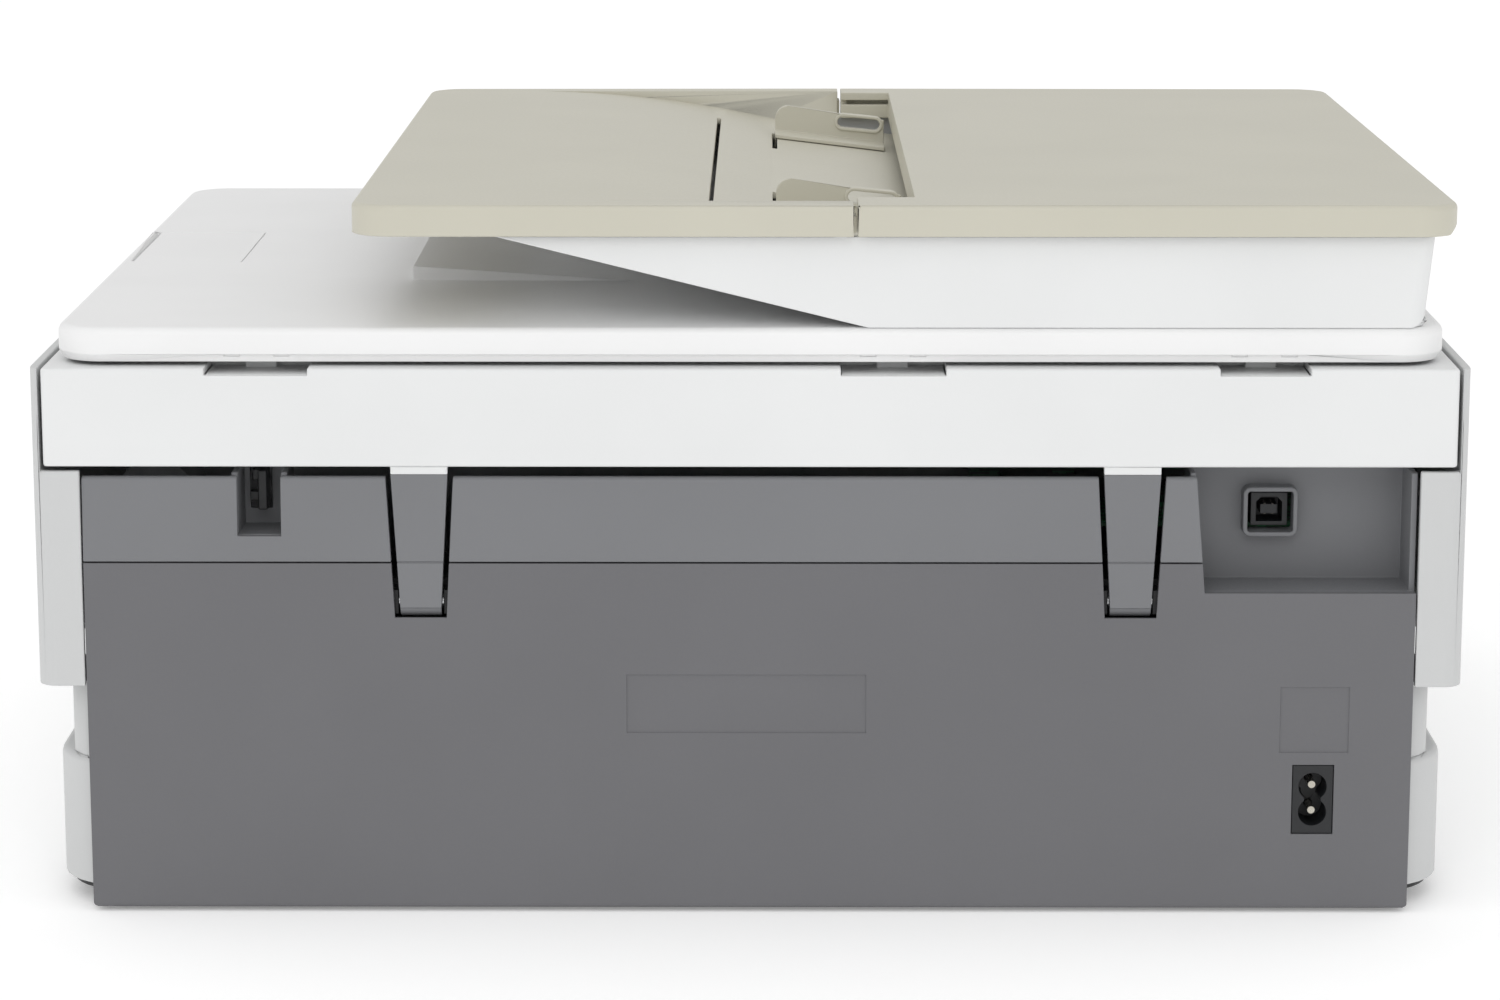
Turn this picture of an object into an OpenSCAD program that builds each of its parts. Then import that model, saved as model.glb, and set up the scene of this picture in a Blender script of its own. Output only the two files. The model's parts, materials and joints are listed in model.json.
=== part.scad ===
// All-in-one inkjet printer with a document feeder on its scanner lid.
// The front faces -Y, the rear cover faces +Y, and the origin lies under the middle of the
// machine on the surface it stands on. Left and right are as seen from the front.

/* [Overall] */
// Width across the upper side panels
body_w = 462; // [410:1:560]
// Depth from the front fascia to the rear cover
body_d = 383; // [360:1:460]

/* [Stack of heights] */
// Height of the rubber feet
foot_h = 5; // [3:0.5:6]
// Top edge of the lower skirt above the table
skirt_top = 50.5; // [50:0.5:60]
// Height of the recessed waist above the skirt
waist_h = 25.5; // [24:0.5:30]
// Top edge of the grey rear cover above the table
cover_top = 145; // [140:1:175]
// Height of the scanner unit
scan_h = 32; // [28:1:40]
// Gap between the rear cover and the scanner unit
scan_gap = 3.5; // [3:0.5:6]
// Gap between the scanner unit and the lid
lid_gap = 1.3; // [1.2:0.1:2]
// Thickness of the scanner lid
lid_t = 11.2; // [11:0.1:14]
// Height of the document feeder's body
adf_h = 29.5; // [28:0.5:36]
// Thickness of the document tray and feeder cover
cap_t = 10; // [10:0.5:14]

/* [Walls] */
// Wall of the moulded shells
wall = 2.5; // [2:0.1:3]
// Wall of the upper side panels
panel_t = 2.8; // [2.4:0.1:3.4]

/* [Lower body] */
// Set-back of the skirt from the side panels
skirt_in = 3; // [2:0.5:5]
// Set-back of the waist from the side panels
waist_in = 8.5; // [6:0.5:12]
// Corner radius of the skirt in plan
skirt_r = 25; // [20:1:30]
// Set-back of the grey rear cover's side edges from the side panels
cover_in = 16; // [15:0.5:20]
// Height of the seam across the rear cover
seam_z = 117.1; // [112:0.1:122]

/* [Rear openings] */
// Width of the port recess
port_w = 71.2; // [60:0.1:74]
// Depth of the port recess
port_depth = 24; // [20:1:26]
// Floor of the port recess above the table
port_floor = 107.2; // [102:0.1:110]
// Width of the notch in the upper edge
notch_w = 14; // [10:0.5:20]
// Depth of the notch below the rear cover's top edge
notch_h = 19.3; // [14:0.1:24]
// Width of the power inlet
inlet_w = 13.3; // [12:0.1:15]
// Height of the power inlet
inlet_h = 23; // [20:0.1:25]

/* [Scanner lift arms] */
// Width of a lift arm at its top
arm_top_w = 18.3; // [16:0.1:22]
// Width of a lift arm at its foot
arm_foot_w = 13.3; // [12:0.1:16]
// Length of a lift arm below the rear cover's top edge
arm_len = 44.4; // [38:0.1:48]
// Gap round a lift arm
arm_gap = 1.7; // [1.2:0.1:2.5]

/* [Paper path] */
// Width of the widest sheet
media_w = 216; // [180:1:216]
// Length of the paper tray
tray_len = 297; // [240:1:310]
// Height of the paper tray
tray_h = 26; // [20:1:28]
// Radius of the feed rollers
feed_r = 7; // [6:0.5:8]
// Radius of the ejecting rollers
eject_r = 5; // [4:0.5:6]

/* [Document feeder] */
// Length of the feeder's beige top
cap_len = 353.6; // [340:0.1:356]
// Depth of the feeder's beige top
cap_d = 352; // [330:1:360]
// Width of the slot between the tray and the cover
split_gap = 1.3; // [1.2:0.1:2]
// Radius of the document pick roller
pick_r = 7; // [6:0.5:7.5]

/* [Hidden] */
$fn = 48;

// Clearances
run_c = 0.05;   // radial clearance of a shaft or pin that turns
seat_c = 0.02;  // radial clearance of a pin that is pressed in
slide_c = 0.3;  // gap beside a part that slides
part_c = 0.3;   // gap between neighbouring mouldings

// Overall halves
hw = body_w / 2;
hd = body_d / 2;

// Levels
waist_top = skirt_top + waist_h;
bed_z0 = cover_top + scan_gap;
bed_z1 = bed_z0 + scan_h;
lid_z0 = bed_z1 + lid_gap;
lid_z1 = lid_z0 + lid_t;
cap_z0 = lid_z1 + adf_h + 0.5;
cap_z1 = cap_z0 + cap_t;
adf_z1 = lid_z1 + adf_h;

// Lower housing
skirt_z0 = foot_h + 2.5;
skirt_x = hw - skirt_in;
skirt_y0 = -(hd - 6);
skirt_y1 = hd - 3.5;
waist_x = hw - waist_in;
waist_y0 = -(hd - 14);
waist_y1 = hd - 7;
waist_r = 12;
plate_t = 3;
plate_z1 = foot_h + plate_t;

// Rear covers
cover_x = hw - cover_in;
cover_t = wall;
cover_y0 = hd - cover_t;
cover_z0 = 1.5;
seam_gap = 0.5;
return_y0 = hd - 6.1;
lean = 1.2;

// Port recess, notch and power inlet
port_x0 = -cover_x;
port_x1 = port_x0 + port_w;
port_slope = 3;
port_y = hd - port_depth;
pocket_t = 2;
usb_x = port_x0 + 45.5;
usb_z = port_floor + 23.1;
shroud_w = 17.8;
shroud_h = 16.4;
shroud_t = 1.5;
shroud_out = 6;
notch_x0 = hw - 80;
notch_x1 = notch_x0 + notch_w;
notch_z0 = cover_top - notch_h;
notch_depth = 22;
inlet_x = -(hw - 47.7);
inlet_z = foot_h + 33.4;
label_x0 = -37.7;
label_x1 = 39.9;
label_z0 = 60.6;
label_z1 = 80;
plaque_w = 22.3;
plaque_z0 = 54.2;
plaque_z1 = 76;
mark_depth = 0.4;

// Lift arms: centres across the width, and the pivot behind their feet
ARM_X = [-(hw - 108), hw - 124.7];
arm_t = 3;
arm_y1 = hd - 0.5;
pivot_y = hd - 5.5;
pivot_z = cover_top - arm_len + 2.9;
barrel_r = 5;
pivot_r = 2;
ear_t = 3;

// Print frame and shafts
frame_x = hw - 77;
frame_t = 4;
frame_y0 = -60;
frame_y1 = hd - 41.5;
frame_low = 71.5;
frame_high = 100;
cross_t = 4;
cross_z1 = 112;
feed_y = 30;
feed_z = 71 - feed_r;
feed_shaft_r = 4;
eject_y = -32;
eject_z = 71 - eject_r;
eject_shaft_r = 3;
pick_y = 86;
pick_z = plate_z1 + tray_h + 14.2;
pick_roller_r = 12;
pick_shaft_r = 3;
gear_x0 = -(frame_x + frame_t + 8);
gear_w = 6;
gear_m = 1;
feed_teeth = 40;
idler_teeth = 22;
idler_y = (feed_y + eject_y) / 2;
idler_z = (feed_z + eject_z) / 2;
idler_pin_r = 2;

// Carriage drive
rail_x = waist_x - wall - 0.5;
rail_y0 = 62;
rail_t = 2;
rail_z0 = frame_low;
rail_z1 = 132;
rod_y = 50;
rod_z = 98;
rod_r = 4;
belt_z = 118;
belt_y0 = 54.5;
belt_w = 5;
belt_t = 1.2;
pulley_x = hw - 26;
pulley_r = 6;
pulley_shaft_r = 2;
carriage_x = hw - 45;
carriage_w = 62;
carriage_y0 = -28;
carriage_y1 = 44;
carriage_z0 = 75;
carriage_z1 = 118;
cart_w = 26;
cart_gap = 1.8;
nose_w = 16;
cart_z1 = 122;
nose_z = 72.5;

// Scanner unit
bed_x = hw - 4;
bed_y0 = -(hd - 28.5);
glass_t = 3;
glass_y0 = -118;
glass_y1 = 98;
glass_lap = 4;
strip_x0 = -(hw - 62);
strip_w = 18;
glass_x0 = strip_x0 + strip_w + 10;
glass_x1 = hw - 65;
scan_rod_y = -10;
scan_rod_z = bed_z0 + 8.5;
scan_rod_r = 3;
bar_x0 = strip_x0 - 3;
bar_w = 24;

// Lid hinges: each slot's ends across the width
SLOTS = [[-(hw - 51.5), -(hw - 80.6)], [-62.9, -29.1], [hw - 89.5, hw - 56.3]];
slot_depth = 2.3;
slot_y0 = hd - 21;
hinge_y = hd - 9;
hinge_z = bed_z1 + 6.5;
tongue_w = 10;
tongue_r = 2.4;
lid_pin_r = 1.4;
neck_low = 1.6;     // the neck's underside below the hinge's axis
neck_t = 3.5;

// Lid
lid_x = hw - 7.5;
lid_y0 = -(hd - 28);
lid_y1 = hd - 4;
lid_r = 15;
lid_chamfer = 2.6;
lid_inset = 1.7;
lid_skin = 3;
stop_x0 = hw - 51;
stop_x1 = hw - 11.4;
stop_y0 = -34.5;
stop_y1 = 41.5;
stop_t = 2.8;
stop_axis_x = stop_x1 - 3.4;
stop_axis_z = lid_z1 - 1.5;
stop_pin_r = 0.9;
ramp_x0 = 38;
ramp_x1 = 116;
ramp_y0 = -62.5;
ramp_y1 = 85.5;
ramp_h = 5;

// Feeder body
cap_x0 = -(hw - 4.9);
cap_x1 = cap_x0 + cap_len;
cap_y1 = hd;
cap_y0 = cap_y1 - cap_d;
cap_r = 13;
adf_x0 = cap_x0 + 7.1;
adf_y1 = hd - 5;
adf_y0 = cap_y0 + 5;
wedge_x1 = cap_x1 - 45.5;
wedge_x0 = wedge_x1 - 120;
split_x = -33.1;
mouth_x = -53;
mouth_y0 = cap_y0 + 15.5;
mouth_y1 = cap_y1 - 21.5;
sheet_y = (mouth_y0 + mouth_y1) / 2;
floor_y0 = cap_y0 + 11;
floor_y1 = cap_y1 - 12;
floor_x0 = -58;
dip_x = 86;
knee_x = -7;
tray_axis_x = split_x + 4.1;
tray_axis_z = cap_z0 + 5;
cover_axis_x = cap_x0 + 3.2;
cover_axis_z = cap_z0 + 3.6;
hinge_ear_r = 2.1;
adf_pin_r = 1.4;
adf_shaft_r = 2.5;
adf_roller_r = 9.5;
adf_roller_x = cap_x0 + 76;
adf_roller_z = lid_z1 + 15;
pick_x = mouth_x - 22;
pick_axis_z = cap_z0 - 1.4;
cover_ear_y = [floor_y1 - 29.5, floor_y0 + 26.5];

// Document guides
guide_y1 = sheet_y + media_w / 2 + 1;
guide_y0 = sheet_y - media_w / 2 - 1;
guide_x1 = -8.5;
guide_x0 = -50;
guide_t = 2.5;
guide_foot = 18;
foot_t = 1.5;
track_x = guide_x1 + 0.2;
track_w = 1.8;
track_l = 48;
loop_r = 3.2;
loop_x0 = -46.4;
loop_x1 = -34.4;
loop_z = cap_z1 - 6.6;
loop_lean = 0.6;

// Control panel and power button
panel_x0 = -(hw - 26);
panel_x1 = panel_x0 + 110;
panel_z0 = waist_top + 20;
panel_z1 = panel_z0 + 66;
panel_y1 = -hd + 13.5;
panel_axis_y = -hd + 4;
panel_axis_z = panel_z1 - 4.2;
panel_nose_r = 3.8;
panel_pin_r = 2;
button_x = hw - 41;
button_z = waist_top + 74;
button_r = 6;

// Paper trays
tray_x = media_w / 2 + 10;
tray_z0 = plate_z1 + 0.3;
tray_z1 = tray_z0 + tray_h - 0.3;
tray_y0 = -(hd - 4);
tray_y1 = tray_y0 + tray_len;
tray_door_z1 = skirt_top - 7.5;
rail_gap = 0.6;
out_x = frame_x - 12;
out_z0 = skirt_top + 2;
out_t = 3.5;
out_y0 = -(hd - 7.5);
out_y1 = -45;

WHITE = [0.92, 0.92, 0.92];
GREY = [0.43, 0.43, 0.44];
BEIGE = [0.79, 0.78, 0.72];
BLACK = [0.08, 0.08, 0.09];
STEEL = [0.7, 0.71, 0.73];

// Points of an arc about (x, y) from angle a0 to a1
function arc(x, y, r, a0, a1, n = 8) =
    [for (i = [0:n]) [x + r * cos(a0 + (a1 - a0) * i / n), y + r * sin(a0 + (a1 - a0) * i / n)]];

// Rectangle with its rear corners rounded to rb and its front corners to rf
function rounded(x0, y0, x1, y1, rb, rf) = concat(
    arc(x1 - rb, y1 - rb, rb, 0, 90), arc(x0 + rb, y1 - rb, rb, 90, 180),
    arc(x0 + rf, y0 + rf, rf, 180, 270), arc(x1 - rf, y0 + rf, rf, 270, 360));

// Rectangle with its left corners rounded to rl and its right corners to rr
function sided(x0, y0, x1, y1, rl, rr) = concat(
    arc(x1 - rr, y1 - rr, rr, 0, 90), arc(x0 + rl, y1 - rl, rl, 90, 180),
    arc(x0 + rl, y0 + rl, rl, 180, 270), arc(x1 - rr, y0 + rr, rr, 270, 360));

// Height of the document tray's floor, which dips towards the mouth
function floor_z(x) = cap_z1 - (x >= dip_x ? 0 :
    x >= knee_x ? 0.00122 * pow(dip_x - x, 2) :
    0.00122 * pow(dip_x - knee_x, 2) + 0.12 * (knee_x - x));

// Outline of a spur gear with its first tooth turned to angle a
function gear_outline(teeth, a) = [for (i = [0:teeth - 1], k = [0:3])
    let (step = 360 / teeth, r = gear_m * teeth / 2,
        at = [-0.29, -0.13, 0.13, 0.29][k] * step + i * step + a,
        rr = (k == 0 || k == 3) ? r - 1.2 * gear_m : r + 0.8 * gear_m)
    [rr * cos(at), rr * sin(at)]];

// Box between two corners
module box(lo, hi) {
    translate(lo) cube(hi - lo);
}

// Flat slab of an outline between two heights
module slab(points, z0, z1) {
    translate([0, 0, z0]) linear_extrude(z1 - z0) polygon(points);
}

// Outline given as (Y, Z) and drawn out along X
module along_x(points, x0, x1) {
    translate([x0, 0, 0]) rotate([90, 0, 90]) linear_extrude(x1 - x0) polygon(points);
}

// Outline given as (X, Z) and drawn out along Y
module along_y(points, y0, y1) {
    translate([0, y1, 0]) rotate([90, 0, 0]) linear_extrude(y1 - y0) polygon(points);
}

module rod_x(x0, x1, y, z, r) {
    translate([x0, y, z]) rotate([0, 90, 0]) cylinder(r = r, h = x1 - x0);
}

module rod_y(x, y0, y1, z, r) {
    translate([x, y0, z]) rotate([-90, 0, 0]) cylinder(r = r, h = y1 - y0);
}

module rod_z(x, y, z0, z1, r) {
    translate([x, y, z0]) cylinder(r = r, h = z1 - z0);
}

// Screw places under the print frame's feet
SCREWS = [for (sx = [-1, 1], y = [frame_y0 + 8, frame_y1 - 12]) [sx * (frame_x + frame_t / 2), y]];

// ---------------------------------------------------------------- lower body

module base_plate() {
    inset = wall + part_c;
    color(BLACK) {
        difference() {
            slab(rounded(-skirt_x + inset, skirt_y0 + inset, skirt_x - inset, skirt_y1 - inset,
                skirt_r - inset, skirt_r - inset), foot_h, plate_z1);
            for (p = SCREWS) {
                rod_z(p[0], p[1], foot_h - 1, plate_z1 + 1, 1.7);
                rod_z(p[0], p[1], foot_h - 1, foot_h + 1.8, 3.4);
            }
        }
        for (s = [-1, 1])
            box([s * (tray_x + rail_gap + 1) - 1, tray_y0 + 8, plate_z1],
                [s * (tray_x + rail_gap + 1) + 1, tray_y1, plate_z1 + 12]);
    }
}

module rubber_feet() {
    color(BLACK)
        for (sx = [-1, 1], y = [-(hd - 32), hd - 36])
            rod_z(sx * (hw - 34), y, 0, foot_h, 9);
}

module lower_housing() {
    color(WHITE) difference() {
        union() {
            slab(rounded(-skirt_x, skirt_y0, skirt_x, skirt_y1, skirt_r, skirt_r), skirt_z0, skirt_top);
            slab(rounded(-waist_x, waist_y0, waist_x, waist_y1, waist_r, waist_r), skirt_top, waist_top);
        }
        slab(rounded(-skirt_x + wall, skirt_y0 + wall, skirt_x - wall, skirt_y1 - wall,
            skirt_r - wall, skirt_r - wall), skirt_z0 - 1, skirt_top - wall);
        slab(rounded(-waist_x + wall, waist_y0 + wall, waist_x - wall, waist_y1 - wall,
            waist_r - wall, waist_r - wall), skirt_top - wall - 1, waist_top + 1);
        // the rear cover closes the back
        box([-cover_x - 0.4, frame_y1, 0], [cover_x + 0.4, hd, waist_top + 1]);
        // paper tray doorway and output slot
        box([-tray_x - 3.5, skirt_y0 - 1, 0], [tray_x + 3.5, skirt_y0 + wall + 2, skirt_top - 6.5]);
        box([-out_x - 2, waist_y0 - 1, skirt_top + 0.8], [out_x + 2, waist_y0 + wall + 1, waist_top - 2]);
    }
}

// Tapered slot that leaves a gap round a lift arm
module arm_slot(x, gap) {
    top = arm_top_w / 2 + gap;
    foot = arm_foot_w / 2 + gap;
    z0 = cover_top - arm_len - gap;
    run = (top - foot) / (cover_top - z0) * 3;
    along_y([[x - foot, z0], [x + foot, z0], [x + top + run, cover_top + 3],
        [x - top - run, cover_top + 3]],
        hd - 10, hd + 1);
}

// Outline of the port recess seen from behind
module port_cut(y0, y1) {
    along_y([[port_x0 - 1, port_floor], [port_x1 - port_slope, port_floor],
        [port_x1 + 0.3, cover_top + 3], [port_x0 - 1, cover_top + 3]], y0, y1);
}

module rear_cover() {
    color(GREY) difference() {
        union() {
            box([-cover_x, cover_y0, cover_z0], [cover_x, hd, seam_z - seam_gap / 2]);
            for (s = [-1, 1])
                box([s * (cover_x - wall / 2) - wall / 2, return_y0, cover_z0],
                    [s * (cover_x - wall / 2) + wall / 2, cover_y0, waist_top - 0.6]);
        }
        for (x = ARM_X) {
            arm_slot(x, arm_gap);
            box([x - 9, hd - 10, pivot_z - 7], [x + 9, hd - 1.2, pivot_z + 1]);
        }
        port_cut(hd - 10, hd + 1);
        box([inlet_x - inlet_w / 2 - 0.15, hd - 10, inlet_z - inlet_h / 2 - 0.15],
            [inlet_x + inlet_w / 2 + 0.15, hd + 1, inlet_z + inlet_h / 2 + 0.15]);
        box([label_x0, hd - mark_depth, label_z0], [label_x1, hd + 1, label_z1]);
        box([inlet_x - plaque_w / 2, hd - mark_depth, plaque_z0],
            [inlet_x + plaque_w / 2, hd + 1, plaque_z1]);
    }
}

module rear_upper_cover() {
    z0 = seam_z + seam_gap / 2;
    outer = concat([[cover_y0, z0], [hd, z0]], arc(hd - lean - 1.6, cover_top - 1.6, 1.6, 0, 90),
        [[cover_y0 - lean, cover_top]]);
    color(GREY) difference() {
        along_x(outer, -cover_x, cover_x);
        for (x = ARM_X) arm_slot(x, arm_gap);
        port_cut(hd - 10, hd + 1);
        along_y([[notch_x0, notch_z0], [notch_x1, notch_z0], [notch_x1, cover_top + 1],
            [notch_x0, cover_top + 1]],
            hd - 10, hd + 1);
    }
}

// Upper side panel on the right; the left one is its mirror
module side_panel() {
    r = 6;
    inner = hw - panel_t;
    plan = concat([[inner, -hd + 8], [hw, -hd + 8]], arc(hw - r, hd - r, r, 0, 90),
        [[cover_x + 0.5, hd], [cover_x + 0.5, hd - panel_t]],
        arc(hw - r, hd - r, r - panel_t, 90, 0));
    color(WHITE) difference() {
        slab(plan, waist_top, bed_z1);
        box([0, -hd, cover_top + 2], [inner, hd + 1, bed_z1 + 1]);
    }
}

module side_panel_right() {
    side_panel();
}

module side_panel_left() {
    mirror([1, 0, 0]) side_panel();
}

module front_fascia() {
    r = 8;
    x1 = hw - skirt_in;
    depth = 25;
    pocket = 2;
    color(WHITE) difference() {
        union() {
            difference() {
                slab(rounded(-x1, -hd, x1, -hd + depth, 0.5, r), waist_top, bed_z1);
                slab(rounded(-x1 + wall, -hd + wall, x1 - wall, -hd + depth + 1, 0.4, r - wall),
                    waist_top + wall, bed_z1 - wall);
                for (s = [-1, 1])
                    box([s * hw - panel_t - part_c, -hd + 8 - part_c, waist_top - 1],
                        [s * hw + panel_t + part_c, hd, bed_z1 + 1]);
            }
            box([panel_x0 - pocket, -hd, panel_z0 - pocket],
                [panel_x1 + pocket, panel_y1 + 8, panel_z1 + pocket]);
            rod_y(button_x, -hd + 1, -hd + 10, button_z, button_r + 3);
        }
        box([panel_x0, -hd - 1, panel_z0], [panel_x1, panel_y1 + 6, panel_z1]);
        rod_x(panel_x0 - pocket - 1, panel_x1 + pocket + 1, panel_axis_y, panel_axis_z,
            panel_pin_r + run_c);
        rod_y(button_x, -hd - 1, -hd + 11, button_z, button_r + slide_c);
    }
}

module port_pockets() {
    z1 = cover_top + 1;
    y1 = cover_y0;
    color(GREY) difference() {
        union() {
            // recess for the port, with a shroud round its socket
            box([port_x0, port_y - pocket_t, port_floor - pocket_t], [port_x1 + 2, y1 - 1.4, z1]);
            box([port_x0, y1 - 1.4, port_floor - pocket_t], [port_x1 - port_slope, y1, port_floor]);
            // liner of the notch
            box([notch_x0 - pocket_t, hd - notch_depth - pocket_t, notch_z0 - pocket_t],
                [notch_x1 + pocket_t, y1 - 1.4, z1]);
        }
        difference() {
            along_y([[port_x0 + pocket_t, port_floor], [port_x1 - port_slope, port_floor],
                [port_x1 + 0.3, z1 + 1], [port_x0 + pocket_t, z1 + 1]], port_y, y1);
            translate([usb_x, 0, usb_z])
                along_y(rounded(-shroud_w / 2, -shroud_h / 2, shroud_w / 2, shroud_h / 2, 2.5, 2.5),
                    port_y - 1, port_y + shroud_out);
        }
        translate([usb_x, 0, usb_z])
            along_y(rounded(-shroud_w / 2 + shroud_t, -shroud_h / 2 + shroud_t, shroud_w / 2 - shroud_t,
                shroud_h / 2 - shroud_t, 1, 1), port_y - 3, port_y + shroud_out + 1);
        box([notch_x0, hd - notch_depth, notch_z0], [notch_x1, y1, z1 + 1]);
        // window in the back of the notch, where the lid switch shows
        box([notch_x0 + 5, hd - notch_depth - 3, notch_z0 + 5],
            [notch_x1 - 2, hd - notch_depth + 1, z1 + 1]);
    }
}

// Square socket for a data cable
module usb_port() {
    z0 = usb_z - 5.3;
    z1 = z0 + 11;
    y1 = port_y + 1.5;
    depth = 16;
    color(BLACK) {
        difference() {
            box([usb_x - 6, y1 - depth, z0], [usb_x + 6, y1, z1]);
            along_y([[usb_x - 4.2, z0 + 1.4], [usb_x + 4.2, z0 + 1.4], [usb_x + 4.2, z1 - 3.2],
                [usb_x + 2.6, z1 - 1.6], [usb_x - 2.6, z1 - 1.6], [usb_x - 4.2, z1 - 3.2]],
                y1 - 10, y1 + 1);
        }
        box([usb_x - 2.8, y1 - 10, z0 + 3.7], [usb_x + 2.8, y1 - 1, z0 + 6.9]);
    }
}

module power_inlet() {
    lobe = 4.3;
    color(BLACK) difference() {
        box([inlet_x - inlet_w / 2, hd - 23.5, inlet_z - inlet_h / 2],
            [inlet_x + inlet_w / 2, hd - 0.3, inlet_z + inlet_h / 2]);
        for (s = [-1, 1])
            rod_y(inlet_x, hd - 12, hd + 1, inlet_z + s * lobe, lobe + 0.2);
        box([inlet_x - 2.6, hd - 12, inlet_z - 3], [inlet_x + 2.6, hd + 1, inlet_z + 3]);
        for (s = [-1, 1])
            rod_y(inlet_x, hd - 20, hd - 11, inlet_z + s * lobe, 1.2 + seat_c);
    }
}

module inlet_pins() {
    color(STEEL)
        for (s = [-1, 1])
            rod_y(inlet_x, hd - 20, hd - 3, inlet_z + s * 4.3, 1.2);
}

// ---------------------------------------------------------------- print engine

module print_frame() {
    side = [[frame_y0, plate_z1], [frame_y1 + cross_t, plate_z1], [frame_y1 + cross_t, frame_high],
        [rail_y0 + rail_t, frame_high], [rail_y0 + rail_t, frame_low], [frame_y0, frame_low]];
    board_z = usb_z - 6.9;
    color(BLACK) difference() {
        union() {
            for (s = [-1, 1]) {
                x = s * (frame_x + frame_t / 2);
                along_x(side, x - frame_t / 2, x + frame_t / 2);
                for (y = [frame_y0 + 8, frame_y1 - 12])
                    box([x - 6, y - 6, plate_z1], [x + 6, y + 6, plate_z1 + 6]);
                // ledge under the output tray
                lx = s * (frame_x - 8);
                box([lx - 8, frame_y0, out_z0 - 4.3], [lx + 8, frame_y0 + 30, out_z0 - 0.3]);
            }
            box([-frame_x - frame_t, frame_y1, tray_z1 + 2],
                [frame_x + frame_t, frame_y1 + cross_t, cross_z1]);
            rod_x(gear_x0 - 1, -frame_x - 1, idler_y, idler_z, idler_pin_r);
            // posts under the main board
            for (y = [80, frame_y1 - 10])
                rod_z(-frame_x - frame_t / 2, y, frame_high - 5, board_z, 2);
            rod_z(-frame_x + 60, frame_y1 + cross_t / 2, cross_z1 - 5, board_z, 2);
        }
        rod_x(-hw, hw, feed_y, feed_z, feed_shaft_r + run_c);
        rod_x(-hw, hw, eject_y, eject_z, eject_shaft_r + run_c);
        rod_x(-hw, hw, pick_y, pick_z, pick_shaft_r + run_c);
        for (p = SCREWS) rod_z(p[0], p[1], 0, plate_z1 + 5, 1.5 + seat_c);
    }
}

module arm_brackets() {
    w = arm_foot_w / 2 + 0.6 + ear_t;
    y0 = frame_y1 + cross_t;
    color(BLACK)
        for (x = ARM_X)
            difference() {
                union() {
                    box([x - w, y0, pivot_z - 6], [x + w, pivot_y - barrel_r - 0.5, pivot_z + 6]);
                    for (s = [-1, 1])
                        box([x + s * (w - ear_t / 2) - ear_t / 2, pivot_y - barrel_r - 1, pivot_z - 4],
                            [x + s * (w - ear_t / 2) + ear_t / 2, pivot_y + 2.8, pivot_z + 4]);
                }
                rod_x(x - w - 1, x + w + 1, pivot_y, pivot_z, pivot_r + seat_c);
            }
}

module arm_pins() {
    w = arm_foot_w / 2 + 0.6 + ear_t;
    color(STEEL)
        for (x = ARM_X) rod_x(x - w, x + w, pivot_y, pivot_z, pivot_r);
}

module carriage_rail() {
    color(STEEL) difference() {
        union() {
            box([-rail_x, rail_y0, rail_z0], [rail_x, rail_y0 + rail_t, rail_z1]);
            for (s = [-1, 1])
                box([s * (rail_x - 1) - 1, rod_y - 6, rod_z - 12],
                    [s * (rail_x - 1) + 1, rail_y0, rod_z + 12]);
            rod_y(-pulley_x, belt_y0 - 1, rail_y0 + 1, belt_z, pulley_shaft_r);
        }
        rod_x(-hw, hw, rod_y, rod_z, rod_r + seat_c);
        rod_y(pulley_x, rail_y0 - 1, rail_y0 + rail_t + 1, belt_z, pulley_shaft_r + 1);
    }
}

module guide_rod() {
    color(STEEL) rod_x(-rail_x, rail_x, rod_y, rod_z, rod_r);
}

module carriage_belt() {
    in_r = pulley_r + slide_c;
    out_r = in_r + belt_t;
    loop_out = concat(arc(pulley_x, belt_z, out_r, -90, 90, 16),
        arc(-pulley_x, belt_z, out_r, 90, 270, 16));
    loop_in = concat(arc(pulley_x, belt_z, in_r, -90, 90, 16), arc(-pulley_x, belt_z, in_r, 90, 270, 16));
    color(BLACK) difference() {
        along_y(loop_out, belt_y0, belt_y0 + belt_w);
        along_y(loop_in, belt_y0 - 1, belt_y0 + belt_w + 1);
    }
}

module carriage_motor() {
    y0 = rail_y0 + rail_t;
    color(STEEL) difference() {
        rod_y(pulley_x, y0, y0 + 30, belt_z, 14);
        rod_y(pulley_x, y0 - 1, y0 + 8, belt_z, pulley_shaft_r + run_c);
    }
}

// Toothed wheel inside the carriage belt
module pulley(x, bore) {
    color(BLACK) difference() {
        union() {
            rod_y(x, belt_y0 - 0.2, belt_y0 + belt_w + 0.2, belt_z, pulley_r);
            rod_y(x, belt_y0 - 1.2, belt_y0 - 0.2, belt_z, pulley_r + 2.6);
        }
        if (bore) rod_y(x, belt_y0 - 2, belt_y0 + belt_w + 1, belt_z, pulley_shaft_r + run_c);
    }
}

module motor_pulley() {
    pulley(pulley_x, false);
    color(STEEL) rod_y(pulley_x, belt_y0 + belt_w, rail_y0 + rail_t + 7.5, belt_z, pulley_shaft_r);
}

module idler_pulley() {
    pulley(-pulley_x, true);
}

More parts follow.
